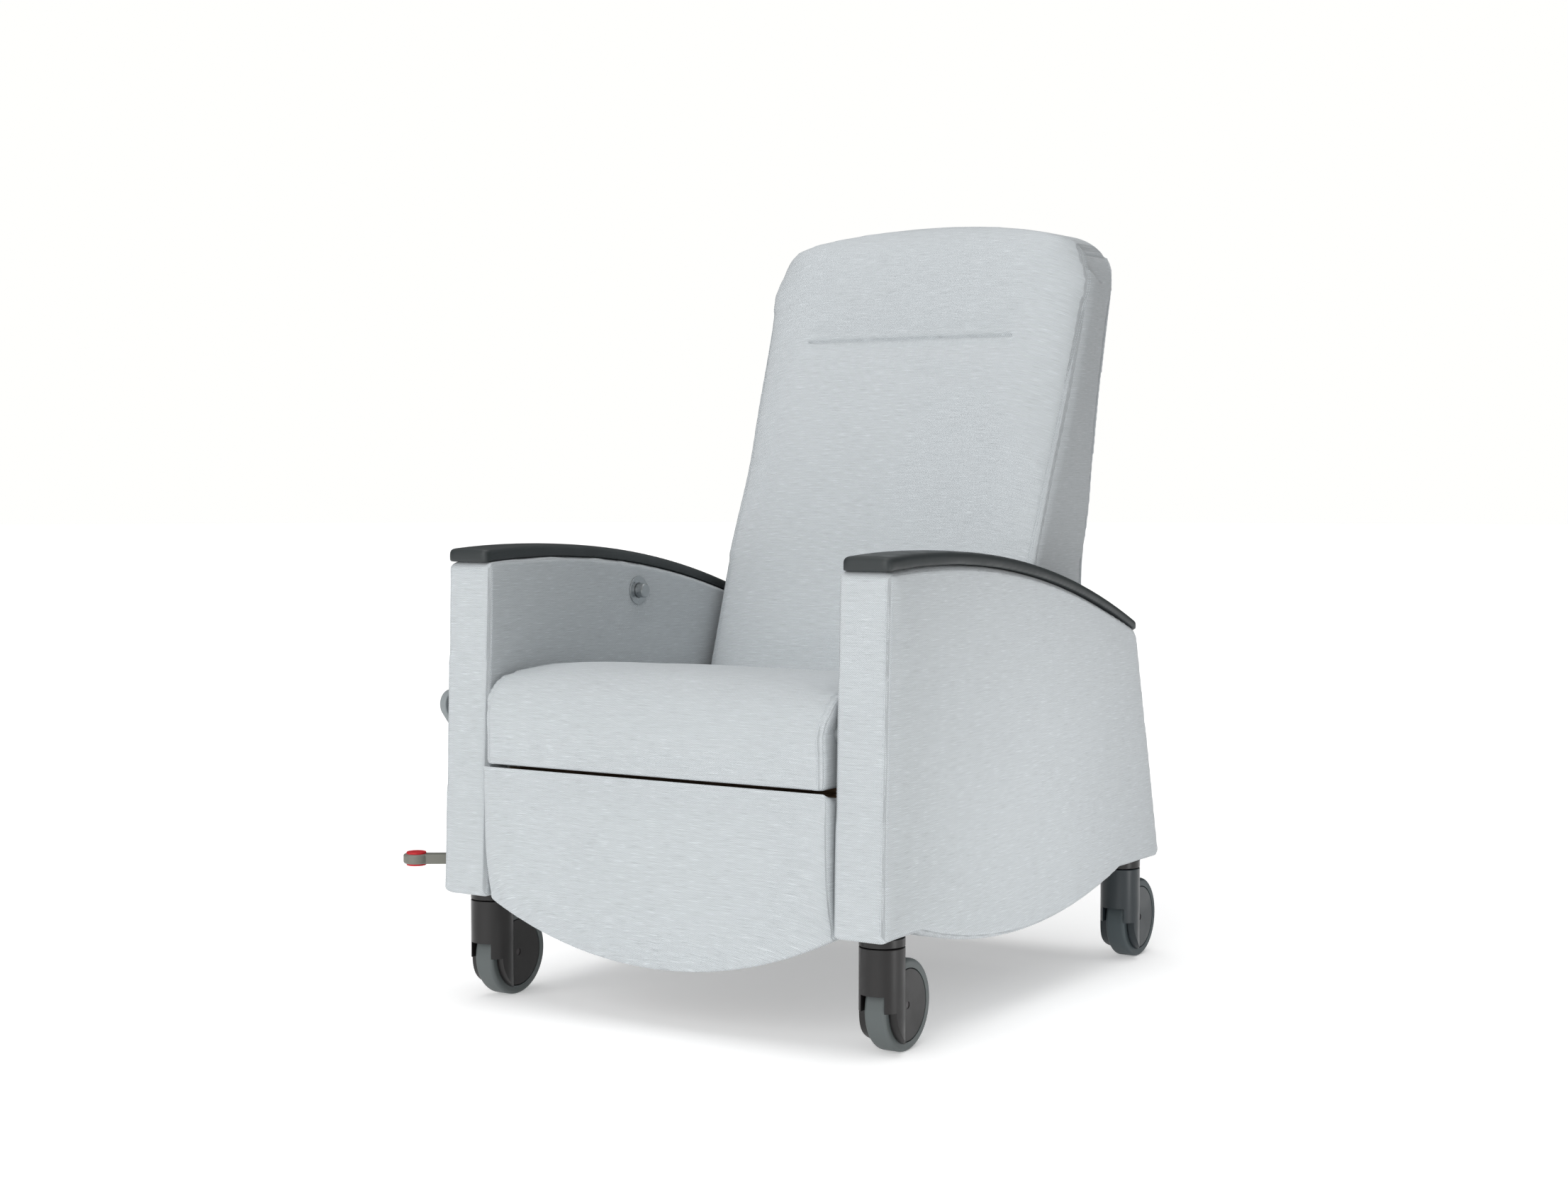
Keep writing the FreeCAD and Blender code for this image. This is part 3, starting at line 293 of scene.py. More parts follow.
def trued(co, outline, flat, ends, radius):
    """Lays a remeshed slab's skin back on its true outline and ends, with an even rounding between them.
    flat is the axis across the slab, ends the two places where it stops."""
    u, v = [axis for axis in (0, 1, 2) if axis != flat]
    line = resampled(outline, 0.7 * MM, closed=True)[:, [u, v]]
    along = np.roll(line, -3, 0) - np.roll(line, 3, 0)
    inward = np.column_stack([-along[:, 1], along[:, 0]])
    inward /= np.maximum(np.linalg.norm(inward, axis=1), 1e-9)[:, None]
    if ((line.mean(0) - line) * inward).sum() < 0:
        inward = -inward
    tree = KDTree(len(line))
    for i, p in enumerate(line):
        tree.insert((p[0], p[1], 0), i)
    tree.balance()
    nearest = np.array([tree.find((p[u], p[v], 0))[1] for p in co])
    normal = inward[nearest]
    depth = ((co[:, [u, v]] - line[nearest]) * normal).sum(1)
    middle = sum(ends) / 2
    half = abs(ends[1] - ends[0]) / 2
    side = np.sign(co[:, flat] - middle)
    cover = half - np.abs(co[:, flat] - middle)
    a, b = 1 - depth / radius, 1 - cover / radius
    far = np.hypot(np.maximum(a, 0), np.maximum(b, 0))
    at_edge = (a > 0) & (b > 0)
    new_a = np.where(at_edge, a / np.maximum(far, 1e-9), np.where((a > b) & (a > -0.5), 1, a))
    new_b = np.where(at_edge, b / np.maximum(far, 1e-9), np.where((b >= a) & (b > -0.5), 1, b))
    shift = (a - new_a) * radius
    co[:, u] += normal[:, 0] * shift
    co[:, v] += normal[:, 1] * shift
    co[:, flat] = middle + side * (half - (1 - new_b) * radius)


def eased(gap, reach, depth, power=2.2):
    """How far a face falls away by a soft rounding: depth at the edge, 0 from reach inwards."""
    return depth * (1 - np.clip(gap / reach, 0, 1)) ** power


def surface(piece):
    """A tree for finding the nearest place on a piece."""
    bm = bmesh.new()
    bm.from_mesh(piece.data)
    tree = BVHTree.FromBMesh(bm)
    bm.free()
    return tree


def onto(tree, line):
    """A line laid on a surface, with the surface's normals along it."""
    found = [tree.find_nearest(Vector(p)) for p in line]
    return np.array([f[0][:] for f in found]), np.array([f[1][:] for f in found])


def refine(piece, lines, reach):
    """Halves the mesh's cells near the lines."""
    co = points_of(piece.data)
    far, _ = distance_to(lines, co)
    bm = bmesh.new()
    bm.from_mesh(piece.data)
    bm.verts.ensure_lookup_table()
    near = far < reach
    edges = [e for e in bm.edges if near[e.verts[0].index] and near[e.verts[1].index]]
    bmesh.ops.subdivide_edges(bm, edges=edges, cuts=1, use_grid_fill=True, smooth=0.0)
    bm.to_mesh(piece.data)
    bm.free()
    piece.data.shade_smooth()


def sew(piece, lines, depth, width, puff):
    """Pulls the cover in along each seam and lets it stand up a little on both sides."""
    tree = surface(piece)
    lines = [onto(tree, resampled(line, 2 * MM))[0] for line in lines]
    refine(piece, lines, 13 * MM)
    co = points_of(piece.data)
    far, nearest = distance_to(lines, co)
    on_line = far < 0.5 * MM
    co[on_line] = nearest[on_line]
    far = np.where(on_line, 0, far)
    move_points(piece.data, co)
    normal = normals_of(piece.data)
    drop = -depth * np.exp(-(far / width) ** 2) + puff * np.exp(-((far - 8 * MM) / (4 * MM)) ** 2)
    move_points(piece.data, co + normal * drop[:, None])
    return lines


def stitched(name, piece, rows):
    """Rows of raised thread on a piece: each row is a line and how far beside it the thread runs."""
    tree = surface(piece)
    verts, faces = [], []
    for line, beside in rows:
        line, normal = onto(tree, resampled(line, STITCH_PITCH))
        if beside:
            along = np.gradient(line, axis=0)
            across = np.cross(normal, along)
            across /= np.maximum(np.linalg.norm(across, axis=1), 1e-9)[:, None]
            line, normal = onto(tree, line + across * beside)
            line = resampled(line, STITCH_PITCH)
            line, normal = onto(tree, line)
        for i in range(len(line) - 1):
            along = Vector(line[i + 1] - line[i])
            if along.length < 1 * MM:
                continue
            up = Vector(normal[i])
            along.normalize()
            wide = up.cross(along).normalized()
            here = Vector(line[i]) + up * 0.12 * MM
            first = len(verts)
            verts.append(here)
            for share in (0.2, 0.8):
                middle = here + along * STITCH_LENGTH * share + up * 0.1 * MM
                for a, b in ((1, 0), (0, 1), (-1, 0), (0, -1)):
                    verts.append(middle + wide * a * THREAD + up * b * THREAD * 0.8)
            verts.append(here + along * STITCH_LENGTH)
            for k in range(4):
                m = (k + 1) % 4
                faces.append((first, first + 1 + m, first + 1 + k))
                faces.append((first + 1 + k, first + 1 + m, first + 5 + m, first + 5 + k))
                faces.append((first + 5 + k, first + 5 + m, first + 9))
    mesh = bpy.data.meshes.new(name)
    mesh.from_pydata(verts, [], faces)
    mesh.update()
    mesh.shade_smooth()
    return new_piece(name, mesh)


def finish_piece(piece, body, node=None):
    """Says which body the piece rides on and the node it stands for."""
    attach(piece, body)
    if node:
        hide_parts(node)
    return piece


# ---- material tools ----
class Nodes:
    """A small hand for building shader nodes."""

    def __init__(self, tree):
        self.tree = tree

    def add(self, kind, **settings):
        node = self.tree.nodes.new(kind)
        inputs = settings.pop("inputs", {})
        for key, value in settings.items():
            setattr(node, key, value)
        for key, value in inputs.items():
            self.feed(node.inputs[key], value)
        return node

    def feed(self, socket, value):
        if isinstance(value, bpy.types.NodeSocket):
            self.tree.links.new(value, socket)
        else:
            socket.default_value = value

    def math(self, operation, a, b=0.0, c=0.0):
        node = self.add("ShaderNodeMath", operation=operation)
        for socket, value in zip(node.inputs, (a, b, c)):
            self.feed(socket, value)
        return node.outputs[0]

    def scaled(self, vector, by):
        return self.add("ShaderNodeVectorMath", operation="MULTIPLY", inputs={0: vector, 1: by}).outputs[0]

    def noise(self, vector, scale, detail=2.0, roughness=0.5):
        return self.add("ShaderNodeTexNoise", inputs={
            "Vector": vector, "Scale": scale, "Detail": detail, "Roughness": roughness}).outputs["Fac"]

    def between(self, value, low, high, to_low=0.0, to_high=1.0):
        """A soft step from to_low to to_high while the value goes from low to high."""
        return self.add("ShaderNodeMapRange", interpolation_type="SMOOTHSTEP", inputs={
            "Value": value, "From Min": low, "From Max": high,
            "To Min": to_low, "To Max": to_high}).outputs[0]

    def tinted(self, colour, factor):
        """A colour times a number."""
        node = self.add("ShaderNodeVectorMath", operation="SCALE", inputs={"Scale": factor})
        self.feed(node.inputs[0], colour)
        return node.outputs[0]


def rgb(code):
    """Linear colour from a display hex code."""
    parts = [int(code[i:i + 2], 16) / 255 for i in (0, 2, 4)]
    return [c / 12.92 if c <= 0.04045 else ((c + 0.055) / 1.055) ** 2.4 for c in parts]


def new_material(name, metallic=0.0, specular=0.5):
    material = bpy.data.materials.new(name)
    material.use_nodes = True
    tree = material.node_tree
    surface_node = tree.nodes["Principled BSDF"]
    surface_node.inputs["Metallic"].default_value = metallic
    surface_node.inputs["Specular IOR Level"].default_value = specular
    return material, Nodes(tree), surface_node


def relief(n, shader, height, distance, strength=0.6):
    bump = n.add("ShaderNodeBump", inputs={"Strength": strength, "Distance": distance, "Height": height})
    n.feed(shader.inputs["Normal"], bump.outputs[0])


def weave_plane(n):
    """Cloth coordinates in metres, across and along the panel whichever way it faces.
    The last value is how far the panel faces sideways, from 0 to 1."""
    place = n.add("ShaderNodeTexCoord")
    at = n.add("ShaderNodeSeparateXYZ", inputs={0: place.outputs["Object"]})
    facing = n.add("ShaderNodeSeparateXYZ", inputs={0: place.outputs["Normal"]})
    sideways = n.math("ABSOLUTE", facing.outputs["X"])
    side = n.between(sideways, 0.66, 0.80)
    over = n.math("ADD", at.outputs["Y"], at.outputs["Z"])

    def chosen(front, flank):
        return n.add("ShaderNodeMix", inputs={"Factor": side, "A": front, "B": flank}).outputs[0]

    u = chosen(at.outputs["X"], at.outputs["Y"])
    v = chosen(over, at.outputs["Z"])
    return place.outputs["Object"], u, v, sideways


def fabric(name, colour, flank=1.0):
    """Fine twill with short slubbed threads across the panel.
    flank is the painted shade of side panels: faces that turn sideways are darkened to this share of their
    colour."""
    material, n, shader = new_material(name, specular=0.28)
    place, u, v, sideways = weave_plane(n)
    plane = n.add("ShaderNodeCombineXYZ", inputs={0: u, 1: v}).outputs[0]
    waver = n.math("MULTIPLY", n.noise(plane, 55.0, 1.0), 0.9 * MM)
    across = n.math("ADD", u, waver)
    diagonal = n.math("MULTIPLY", n.math("ADD", across, v), math.tau / TWILL_PITCH)
    twill = n.math("SINE", diagonal)
    picks = n.math("SINE", n.math("MULTIPLY", v, math.tau / THREAD_PITCH))
    ends = n.math("SINE", n.math("MULTIPLY", across, math.tau / THREAD_PITCH))
    cross = n.math("MULTIPLY", picks, ends)
    slub = n.noise(n.scaled(plane, (40.0, 980.0, 0.0)), 1.0, 1.0)
    light_slub = n.between(slub, 0.58, 0.74)
    dark_slub = n.between(slub, 0.42, 0.28)
    streak = n.noise(n.scaled(plane, (14.0, 470.0, 0.0)), 1.0, 2.0)
    cloud = n.noise(place, 6.0, 2.0)
    shade = n.math("MULTIPLY_ADD", twill, 0.22, 0.99)
    shade = n.math("MULTIPLY_ADD", cross, 0.12, shade)
    shade = n.math("MULTIPLY_ADD", light_slub, 0.23, shade)
    shade = n.math("MULTIPLY_ADD", dark_slub, -0.14, shade)
    shade = n.math("MULTIPLY_ADD", n.math("SUBTRACT", streak, 0.5), 0.20, shade)
    shade = n.math("MULTIPLY_ADD", n.math("SUBTRACT", cloud, 0.5), 0.05, shade)
    # Painted shade: the colour darkens towards flank as the face turns sideways.
    shade = n.math("MULTIPLY", shade, n.between(sideways, 0.25, 0.95, 1.0, flank))
    n.feed(shader.inputs["Base Color"], n.tinted(rgb(colour), shade))
    n.feed(shader.inputs["Roughness"], n.between(slub, 0.2, 0.8, 0.82, 0.70))
    shader.inputs["Sheen Weight"].default_value = 0.12
    shader.inputs["Sheen Roughness"].default_value = 0.5
    height = n.math("MULTIPLY_ADD", light_slub, 0.8, n.math("MULTIPLY_ADD", cross, 0.3, twill))
    relief(n, shader, height, 0.16 * MM, 0.7)
    return material


def moulded(name, colour, roughness=0.5, grain=1400.0, depth=0.06 * MM, specular=0.45, mottle=0.10):
    """Moulded plastic or rubber: fine grain, slightly uneven gloss and colour."""
    material, n, shader = new_material(name, specular=specular)
    place = n.add("ShaderNodeTexCoord").outputs["Object"]
    fine = n.noise(place, grain, 3.0, 0.6)
    broad = n.noise(place, 24.0, 3.0)
    shade = n.math("MULTIPLY_ADD", n.math("SUBTRACT", broad, 0.5), mottle, 1.0)
    shade = n.math("MULTIPLY_ADD", n.math("SUBTRACT", fine, 0.5), mottle, shade)
    n.feed(shader.inputs["Base Color"], n.tinted(rgb(colour), shade))
    n.feed(shader.inputs["Roughness"], n.between(broad, 0.3, 0.7, roughness - 0.06, roughness + 0.06))
    relief(n, shader, fine, depth, 0.5)
    return material


def metal(name, colour, roughness=0.3, brushed=(40.0, 2200.0, 2200.0), depth=0.02 * MM, streaks=0.25):
    """Brushed or turned metal: long fine scratches along one axis."""
    material, n, shader = new_material(name, metallic=1.0)
    place = n.add("ShaderNodeTexCoord").outputs["Object"]
    lines = n.noise(n.scaled(place, brushed), 1.0, 3.0, 0.6)
    smudge = n.noise(place, 30.0, 2.0)
    shade = n.math("MULTIPLY_ADD", n.math("SUBTRACT", lines, 0.5), streaks, 1.0)
    n.feed(shader.inputs["Base Color"], n.tinted(rgb(colour), shade))
    rough = n.math("ADD", n.between(lines, 0.2, 0.8, roughness - 0.08, roughness + 0.1), n.math(
        "MULTIPLY", n.math("SUBTRACT", smudge, 0.5), 0.12))
    n.feed(shader.inputs["Roughness"], rough)
    relief(n, shader, lines, depth, 0.4)
    return material


def painted(name, colour, roughness=0.42):
    """Powder coat with orange peel."""
    material, n, shader = new_material(name)
    place = n.add("ShaderNodeTexCoord").outputs["Object"]
    peel = n.noise(place, 420.0, 2.0)
    broad = n.noise(place, 9.0, 2.0)
    shade = n.math("MULTIPLY_ADD", n.math("SUBTRACT", broad, 0.5), 0.12, 1.0)
    n.feed(shader.inputs["Base Color"], n.tinted(rgb(colour), shade))
    n.feed(shader.inputs["Roughness"], n.between(peel, 0.3, 0.7, roughness - 0.05, roughness + 0.08))
    relief(n, shader, peel, 0.05 * MM, 0.5)
    return material


def hardwood(name):
    """Brown hardwood with long grain across the chair."""
    material, n, shader = new_material(name, specular=0.3)
    place = n.add("ShaderNodeTexCoord").outputs["Object"]
    grain = n.noise(n.scaled(place, (14.0, 260.0, 260.0)), 1.0, 5.0, 0.6)
    pores = n.noise(n.scaled(place, (90.0, 1600.0, 1600.0)), 1.0, 2.0)
    mix = n.add("ShaderNodeMix", data_type="RGBA")
    n.feed(mix.inputs["Factor"], n.between(grain, 0.35, 0.65))
    n.feed(mix.inputs["A"], (*rgb("6e5840"), 1.0))
    n.feed(mix.inputs["B"], (*rgb("4f3c29"), 1.0))
    shade = n.math("MULTIPLY_ADD", n.math("SUBTRACT", pores, 0.5), 0.25, 1.0)
    n.feed(shader.inputs["Base Color"], n.tinted(mix.outputs["Result"], shade))
    n.feed(shader.inputs["Roughness"], n.between(grain, 0.3, 0.7, 0.55, 0.72))
    relief(n, shader, pores, 0.08 * MM, 0.5)
    return material


def webbing(name, colour):
    """Elastic strap with ribs along its length."""
    material, n, shader = new_material(name, specular=0.25)
    place = n.add("ShaderNodeTexCoord").outputs["Object"]
    at = n.add("ShaderNodeSeparateXYZ", inputs={0: place})
    rib = n.math("SINE", n.math("MULTIPLY", at.outputs["Z"], math.tau / (2.4 * MM)))
    cross = n.math("SINE", n.math("MULTIPLY", at.outputs["X"], math.tau / (1.6 * MM)))
    pattern = n.math("MULTIPLY_ADD", cross, 0.4, rib)
    n.feed(shader.inputs["Base Color"], n.tinted(rgb(colour), n.math("MULTIPLY_ADD", pattern, 0.12, 1.0)))
    n.feed(shader.inputs["Roughness"], n.between(pattern, -1.0, 1.0, 0.9, 0.75))
    relief(n, shader, pattern, 0.2 * MM, 0.6)
    return material


MATERIALS = {
    "arm_fabric": fabric("arm_fabric", CLOTH),
    "seat_fabric": fabric("seat_fabric", CLOTH),
    # The back's boxing gets painted shade: its side-facing faces are darkened to 0.78 of the cloth colour.
    "back_fabric": fabric("back_fabric", CLOTH, 0.78),
    "legrest_fabric": fabric("legrest_fabric", CLOTH),
    "rear_fabric": fabric("rear_fabric", CLOTH),
    "arm_cap_polyurethane": moulded("arm_cap_polyurethane", "2b3031", 0.48, 900.0, 0.10 * MM),
    "frame_paint": painted("frame_paint", "33373a"),
    "hardwood": hardwood("hardwood"),
    "bracket_paint": painted("bracket_paint", "84898b"),
    "bright_steel": metal("bright_steel", "b9bcbd", 0.28),
    "spring_steel": metal("spring_steel", "8d9092", 0.35),
    "caster_plastic": moulded("caster_plastic", "141212", 0.36),
    "caster_plastic_slate": moulded("caster_plastic_slate", "222a2e", 0.36),
    "bush_plastic": moulded("bush_plastic", "c9c8c2", 0.4),
    "button_steel": metal("button_steel", "a9adaf", 0.34, (260.0, 260.0, 260.0), 0.005 * MM, 0.08),
    "webbing": webbing("webbing", "4a4d50"),
    "cylinder_paint": painted("cylinder_paint", "1f2122", 0.3),
    "rod_chrome": metal("rod_chrome", "d8dadb", 0.12),
    "lever_plastic": moulded("lever_plastic", "858b8d", 0.45),
    "pedal_plastic": moulded("pedal_plastic", "72726a", 0.5),
    "pedal_rubber": moulded("pedal_rubber", "bf1c25", 0.6),
    "hub_plastic": moulded("hub_plastic", "3f3b3d", 0.4),
    "tyre_grey": moulded("tyre_grey", "565c5c", 0.55, 700.0, 0.08 * MM),
    "tyre_slate": moulded("tyre_slate", "3f484b", 0.55, 700.0, 0.08 * MM),
    "thread": fabric("thread", "c6ccd0"),
}


def wear(piece, material):
    """Gives a piece one material."""
    piece.data.materials.clear()
    piece.data.materials.append(MATERIALS[material])


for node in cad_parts.values():
    for material_slot in node.material_slots:
        kind = "hub_plastic" if node.name.startswith("caster_axle") else material_slot.material.name
        material_slot.material = MATERIALS[kind]


# ---- arms ----
def arm_outline():
    """The arm's side outline, read from the outer face of the left arm."""
    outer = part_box("arm_cover_left")[1].x
    return resampled(rim("arm_cover_left", (1, 0, 0), outer), 6 * MM, closed=True)


def upholster_arm():
    """Tight cover over thin foam. The inner face stays flat, because the leg rest passes close to it."""
    low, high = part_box("arm_cover_left")
    inset, edge_inset, rounding = 2.0 * MM, 0.4 * MM, 4.5 * MM
    loop = arm_outline()
    away = loop - loop.mean(0)
    away[:, 0] = 0
    length = np.linalg.norm(away, axis=1)
    outline = loop - away * (inset / length)[:, None]
    faces = (low.x + 0.8 * MM, high.x - inset)
    piece = prism("arm_upholstery_left", outline, *faces)
    with_modifier(piece, "REMESH", mode="VOXEL", voxel_size=VOXEL["arm"])
    smooth(piece, 3)
    co = points_of(piece.data)
    trued(co, outline, 0, faces, rounding)
    move_points(piece.data, co)

    def give(co, normal):
        return 1 - 0.9 * smoothstep(-normal[:, 0], 0.3, 0.7)

    front_limit = -400 * MM
    front = longest_run(loop, lambda p: (p[:, 1] < low.y + 60 * MM) & (p[:, 2] > low.z + 49 * MM))
    height = front[:, 2]
    upright = (height > height.min() + 3 * MM) & (height < high.z - 13 * MM)
    front = front[(front[:, 1] < front_limit) & upright]
    front = front[np.argsort(front[:, 2])]
    seams = []
    for x in (low.x, high.x):
        line = front.copy()
        line[:, 0] = x
        seams.append(line)
    swell(piece, give, 3.5 * MM, seams)
    co = points_of(piece.data)
    edged = co.copy()
    trued(edged, outline + away * ((inset - edge_inset) / length)[:, None], 0, faces, rounding)
    co[:, 1:] = edged[:, 1:]
    co[:, 0] = np.maximum(co[:, 0], low.x + 0.3 * MM)
    move_points(piece.data, co)
    with_modifier(piece, "SUBSURF", levels=1, render_levels=1)
    seams = sew(piece, seams, depth=0.8 * MM, width=1.8 * MM, puff=0.3 * MM)
    rows = [(seams[1], STITCH_OFFSET), (seams[1], -STITCH_OFFSET), (seams[0], STITCH_OFFSET)]
    return piece, stitched("arm_stitching_left", piece, rows)


def mirror_of(piece, name):
    """The same piece on the other side of the chair."""
    bm = bmesh.new()
    bm.from_mesh(piece.data)
    for v in bm.verts:
        v.co.x = -v.co.x
    bmesh.ops.reverse_faces(bm, faces=bm.faces)
    mesh = bpy.data.meshes.new(name)
    bm.to_mesh(mesh)
    bm.free()
    mesh.shade_smooth()
    return new_piece(name, mesh)


def make_arms():
    left = upholster_arm()
    right = [mirror_of(piece, piece.name.replace("left", "right")) for piece in left]
    for side, (cover, thread) in (("left", left), ("right", right)):
        wear(cover, "arm_fabric")
        wear(thread, "thread")
        finish_piece(cover, "root", "arm_cover_" + side)
        finish_piece(thread, "root")


def make_caps():
    """Moulded caps with eased edges and a gently crowned top."""
    for side in ("left", "right"):
        node = "arm_cap_" + side
        low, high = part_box(node)
        piece = copy_of("arm_rest_" + side, node)
        with_modifier(piece, "REMESH", mode="VOXEL", voxel_size=VOXEL["cap"])
        smooth(piece, 5)
        co, normal = points_of(piece.data), normals_of(piece.data)
        across = (co[:, 0] - (low.x + high.x) / 2) / ((high.x - low.x) / 2)
        crown = 1.6 * MM * (1 - across ** 2) * smoothstep(normal[:, 2], 0.5, 0.9)
        co[:, 2] += crown
        move_points(piece.data, co)
        wear(piece, "arm_cap_polyurethane")
        finish_piece(piece, "root", node)


# ---- seat ----
def make_seat():
    """The cushion bulges to both arms, except beside the leg rest's brackets.
    Its lower front edge clears the leg rest's swing."""
    low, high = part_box("seat_cushion")
    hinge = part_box("legrest_pivot_pins")
    hinge_y, hinge_z = (hinge[0].y + hinge[1].y) / 2, (hinge[0].z + hinge[1].z) / 2
    piece = copy_of("seat_upholstery", "seat_cushion")
    with_modifier(piece, "REMESH", mode="VOXEL", voxel_size=VOXEL["seat"])
    smooth(piece, 2)

    def give(co, normal):
        top = smoothstep(normal[:, 2], -0.5, -0.1)
        rear = 1 - smoothstep(normal[:, 1], 0.3, 0.8)
        side = 1 - 0.9 * smoothstep(np.abs(normal[:, 0]), 0.5, 0.9)
        hem = smoothstep(co[:, 2] - low.z, 4 * MM, 45 * MM)
        return top * rear * side * hem

    seams = []
    for side in (-1, 1):
        loop = resampled(rim("seat_cushion", (side, 0, 0)), 3 * MM, closed=True)
        line = longest_run(loop, lambda p: (p[:, 2] > low.z + 2 * MM) & (p[:, 1] < high.y - 14 * MM))
        line[:, 0] = side * high.x
        seams.append(line)
    swell(piece, give, 14 * MM, seams)
    co = points_of(piece.data)
    outward = np.sign(co[:, 0])
    flank = smoothstep(np.abs(co[:, 0]), high.x - 9 * MM, high.x - 2 * MM)
    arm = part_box("arm_cover_left")[0].x
    under_eye = 1 - smoothstep(co[:, 2], 435 * MM, 455 * MM)
    beside_bracket = under_eye * (1 - smoothstep(co[:, 1], -375 * MM, -345 * MM))
    room = (arm - 2 * MM) * (1 - beside_bracket) + (high.x + 4.3 * MM) * beside_bracket - high.x
    up, inwards = (co[:, 2] - low.z) / (5 * MM), (co[:, 1] - low.y) / (14 * MM)
    full = np.clip(np.minimum(up, inwards), 0, 1)
    co[:, 0] += outward * flank * room * np.sqrt(1 - (1 - full) ** 2)
    move_points(piece.data, co)
    smooth(piece, 2)
    co = points_of(piece.data)
    crisp(co, (1, low.y, 1), (2, low.z, 1), 9 * MM)
    for side in (-1, 1):
        crisp(co, (0, side * (high.x + 4 * MM), -side), (2, low.z, 1), 9 * MM)
    swing, swing_zone = 84 * MM, 97 * MM
    reach = np.hypot(co[:, 1] - hinge_y, co[:, 2] - hinge_z)
    low_front = (co[:, 2] < hinge_z) & (co[:, 1] < hinge_y + 80 * MM) & (reach < swing_zone)
    pull = np.where(low_front, np.minimum(1, swing / np.maximum(reach, 1e-6)), 1)
    co[:, 1] = hinge_y + (co[:, 1] - hinge_y) * pull
    co[:, 2] = hinge_z + (co[:, 2] - hinge_z) * pull
    move_points(piece.data, co)
    with_modifier(piece, "SUBSURF", levels=1, render_levels=1)
    seams = sew(piece, seams, depth=1.8 * MM, width=1.8 * MM, puff=0.6 * MM)
    rows = [(seams[0], STITCH_OFFSET), (seams[1], -STITCH_OFFSET)]
    rows += [(seams[0], -STITCH_OFFSET), (seams[1], STITCH_OFFSET)]
    thread = stitched("seat_stitching", piece, rows)
    wear(piece, "seat_fabric")
    wear(thread, "thread")
    finish_piece(piece, "root", "seat_cushion")
    finish_piece(thread, "root")


# ---- back ----
def back_half(z):
    """Half the back's width at a height: it widens a little towards the top."""
    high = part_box("back_cushion")[1]
    return high.x - BACK_TAPER * np.clip(high.z - 64 * MM - z, 0, None)


def round_shoulders(co):
    """Rounds the two upper corners of the back's outline, seen from the front, more so at the rear."""
    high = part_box("back_cushion")[1]
    radius = 16 * MM + 46 * MM * smoothstep(co[:, 1], high.y - 150 * MM, high.y - 60 * MM)
    side = np.sign(co[:, 0])
    half = high.x + 1 * MM
    top = high.z - co[:, 0] ** 2 / (2 * BACK_ARCH)
    a = (np.abs(co[:, 0]) - (half - radius)) / radius
    b = (co[:, 2] - (top - radius)) / radius
    far = np.hypot(a, b)
    corner = (a > 0) & (b > 0) & (far > 1)
    pull = np.where(corner, 1 / np.maximum(far, 1e-9), 1)
    co[:, 0] = np.where(corner, side * (half - radius + a * pull * radius), co[:, 0])
    co[:, 2] = np.where(corner, top - radius + b * pull * radius, co[:, 2])


def waist(z):
    """Where the back's sides stand out: above the arms and below the shoulders."""
    return smoothstep(z, *ABOVE_ARMS) * (1 - smoothstep(z, *UNDER_SHOULDERS))


def back_lines():
    """The front edge seams of the back, each side, from the lap up over the top corner."""
    low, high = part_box("back_cushion")
    lean = 0.34

    def in_front(p):
        y, z = p[:, 1], p[:, 2]
        before_rear = (y < high.y - 60 * MM) | (z > high.z - 55 * MM)
        on_face = (y < low.y + 60 * MM + (z - low.z) * lean) | (z > high.z - 45 * MM)
        return (z > low.z + 100 * MM) & before_rear & on_face

    lines = []
    for side in (-1, 1):
        loop = resampled(rim("back_cushion", (side, 0, 0)), 3 * MM, closed=True)
        front = longest_run(loop, in_front)
        inset = 9 * MM * (1 - smoothstep(front[:, 2], high.z - 330 * MM, high.z - 50 * MM))
        front[:, 0] = front[:, 0] - side * (2 * MM + inset)
        lines.append(front)
    return lines


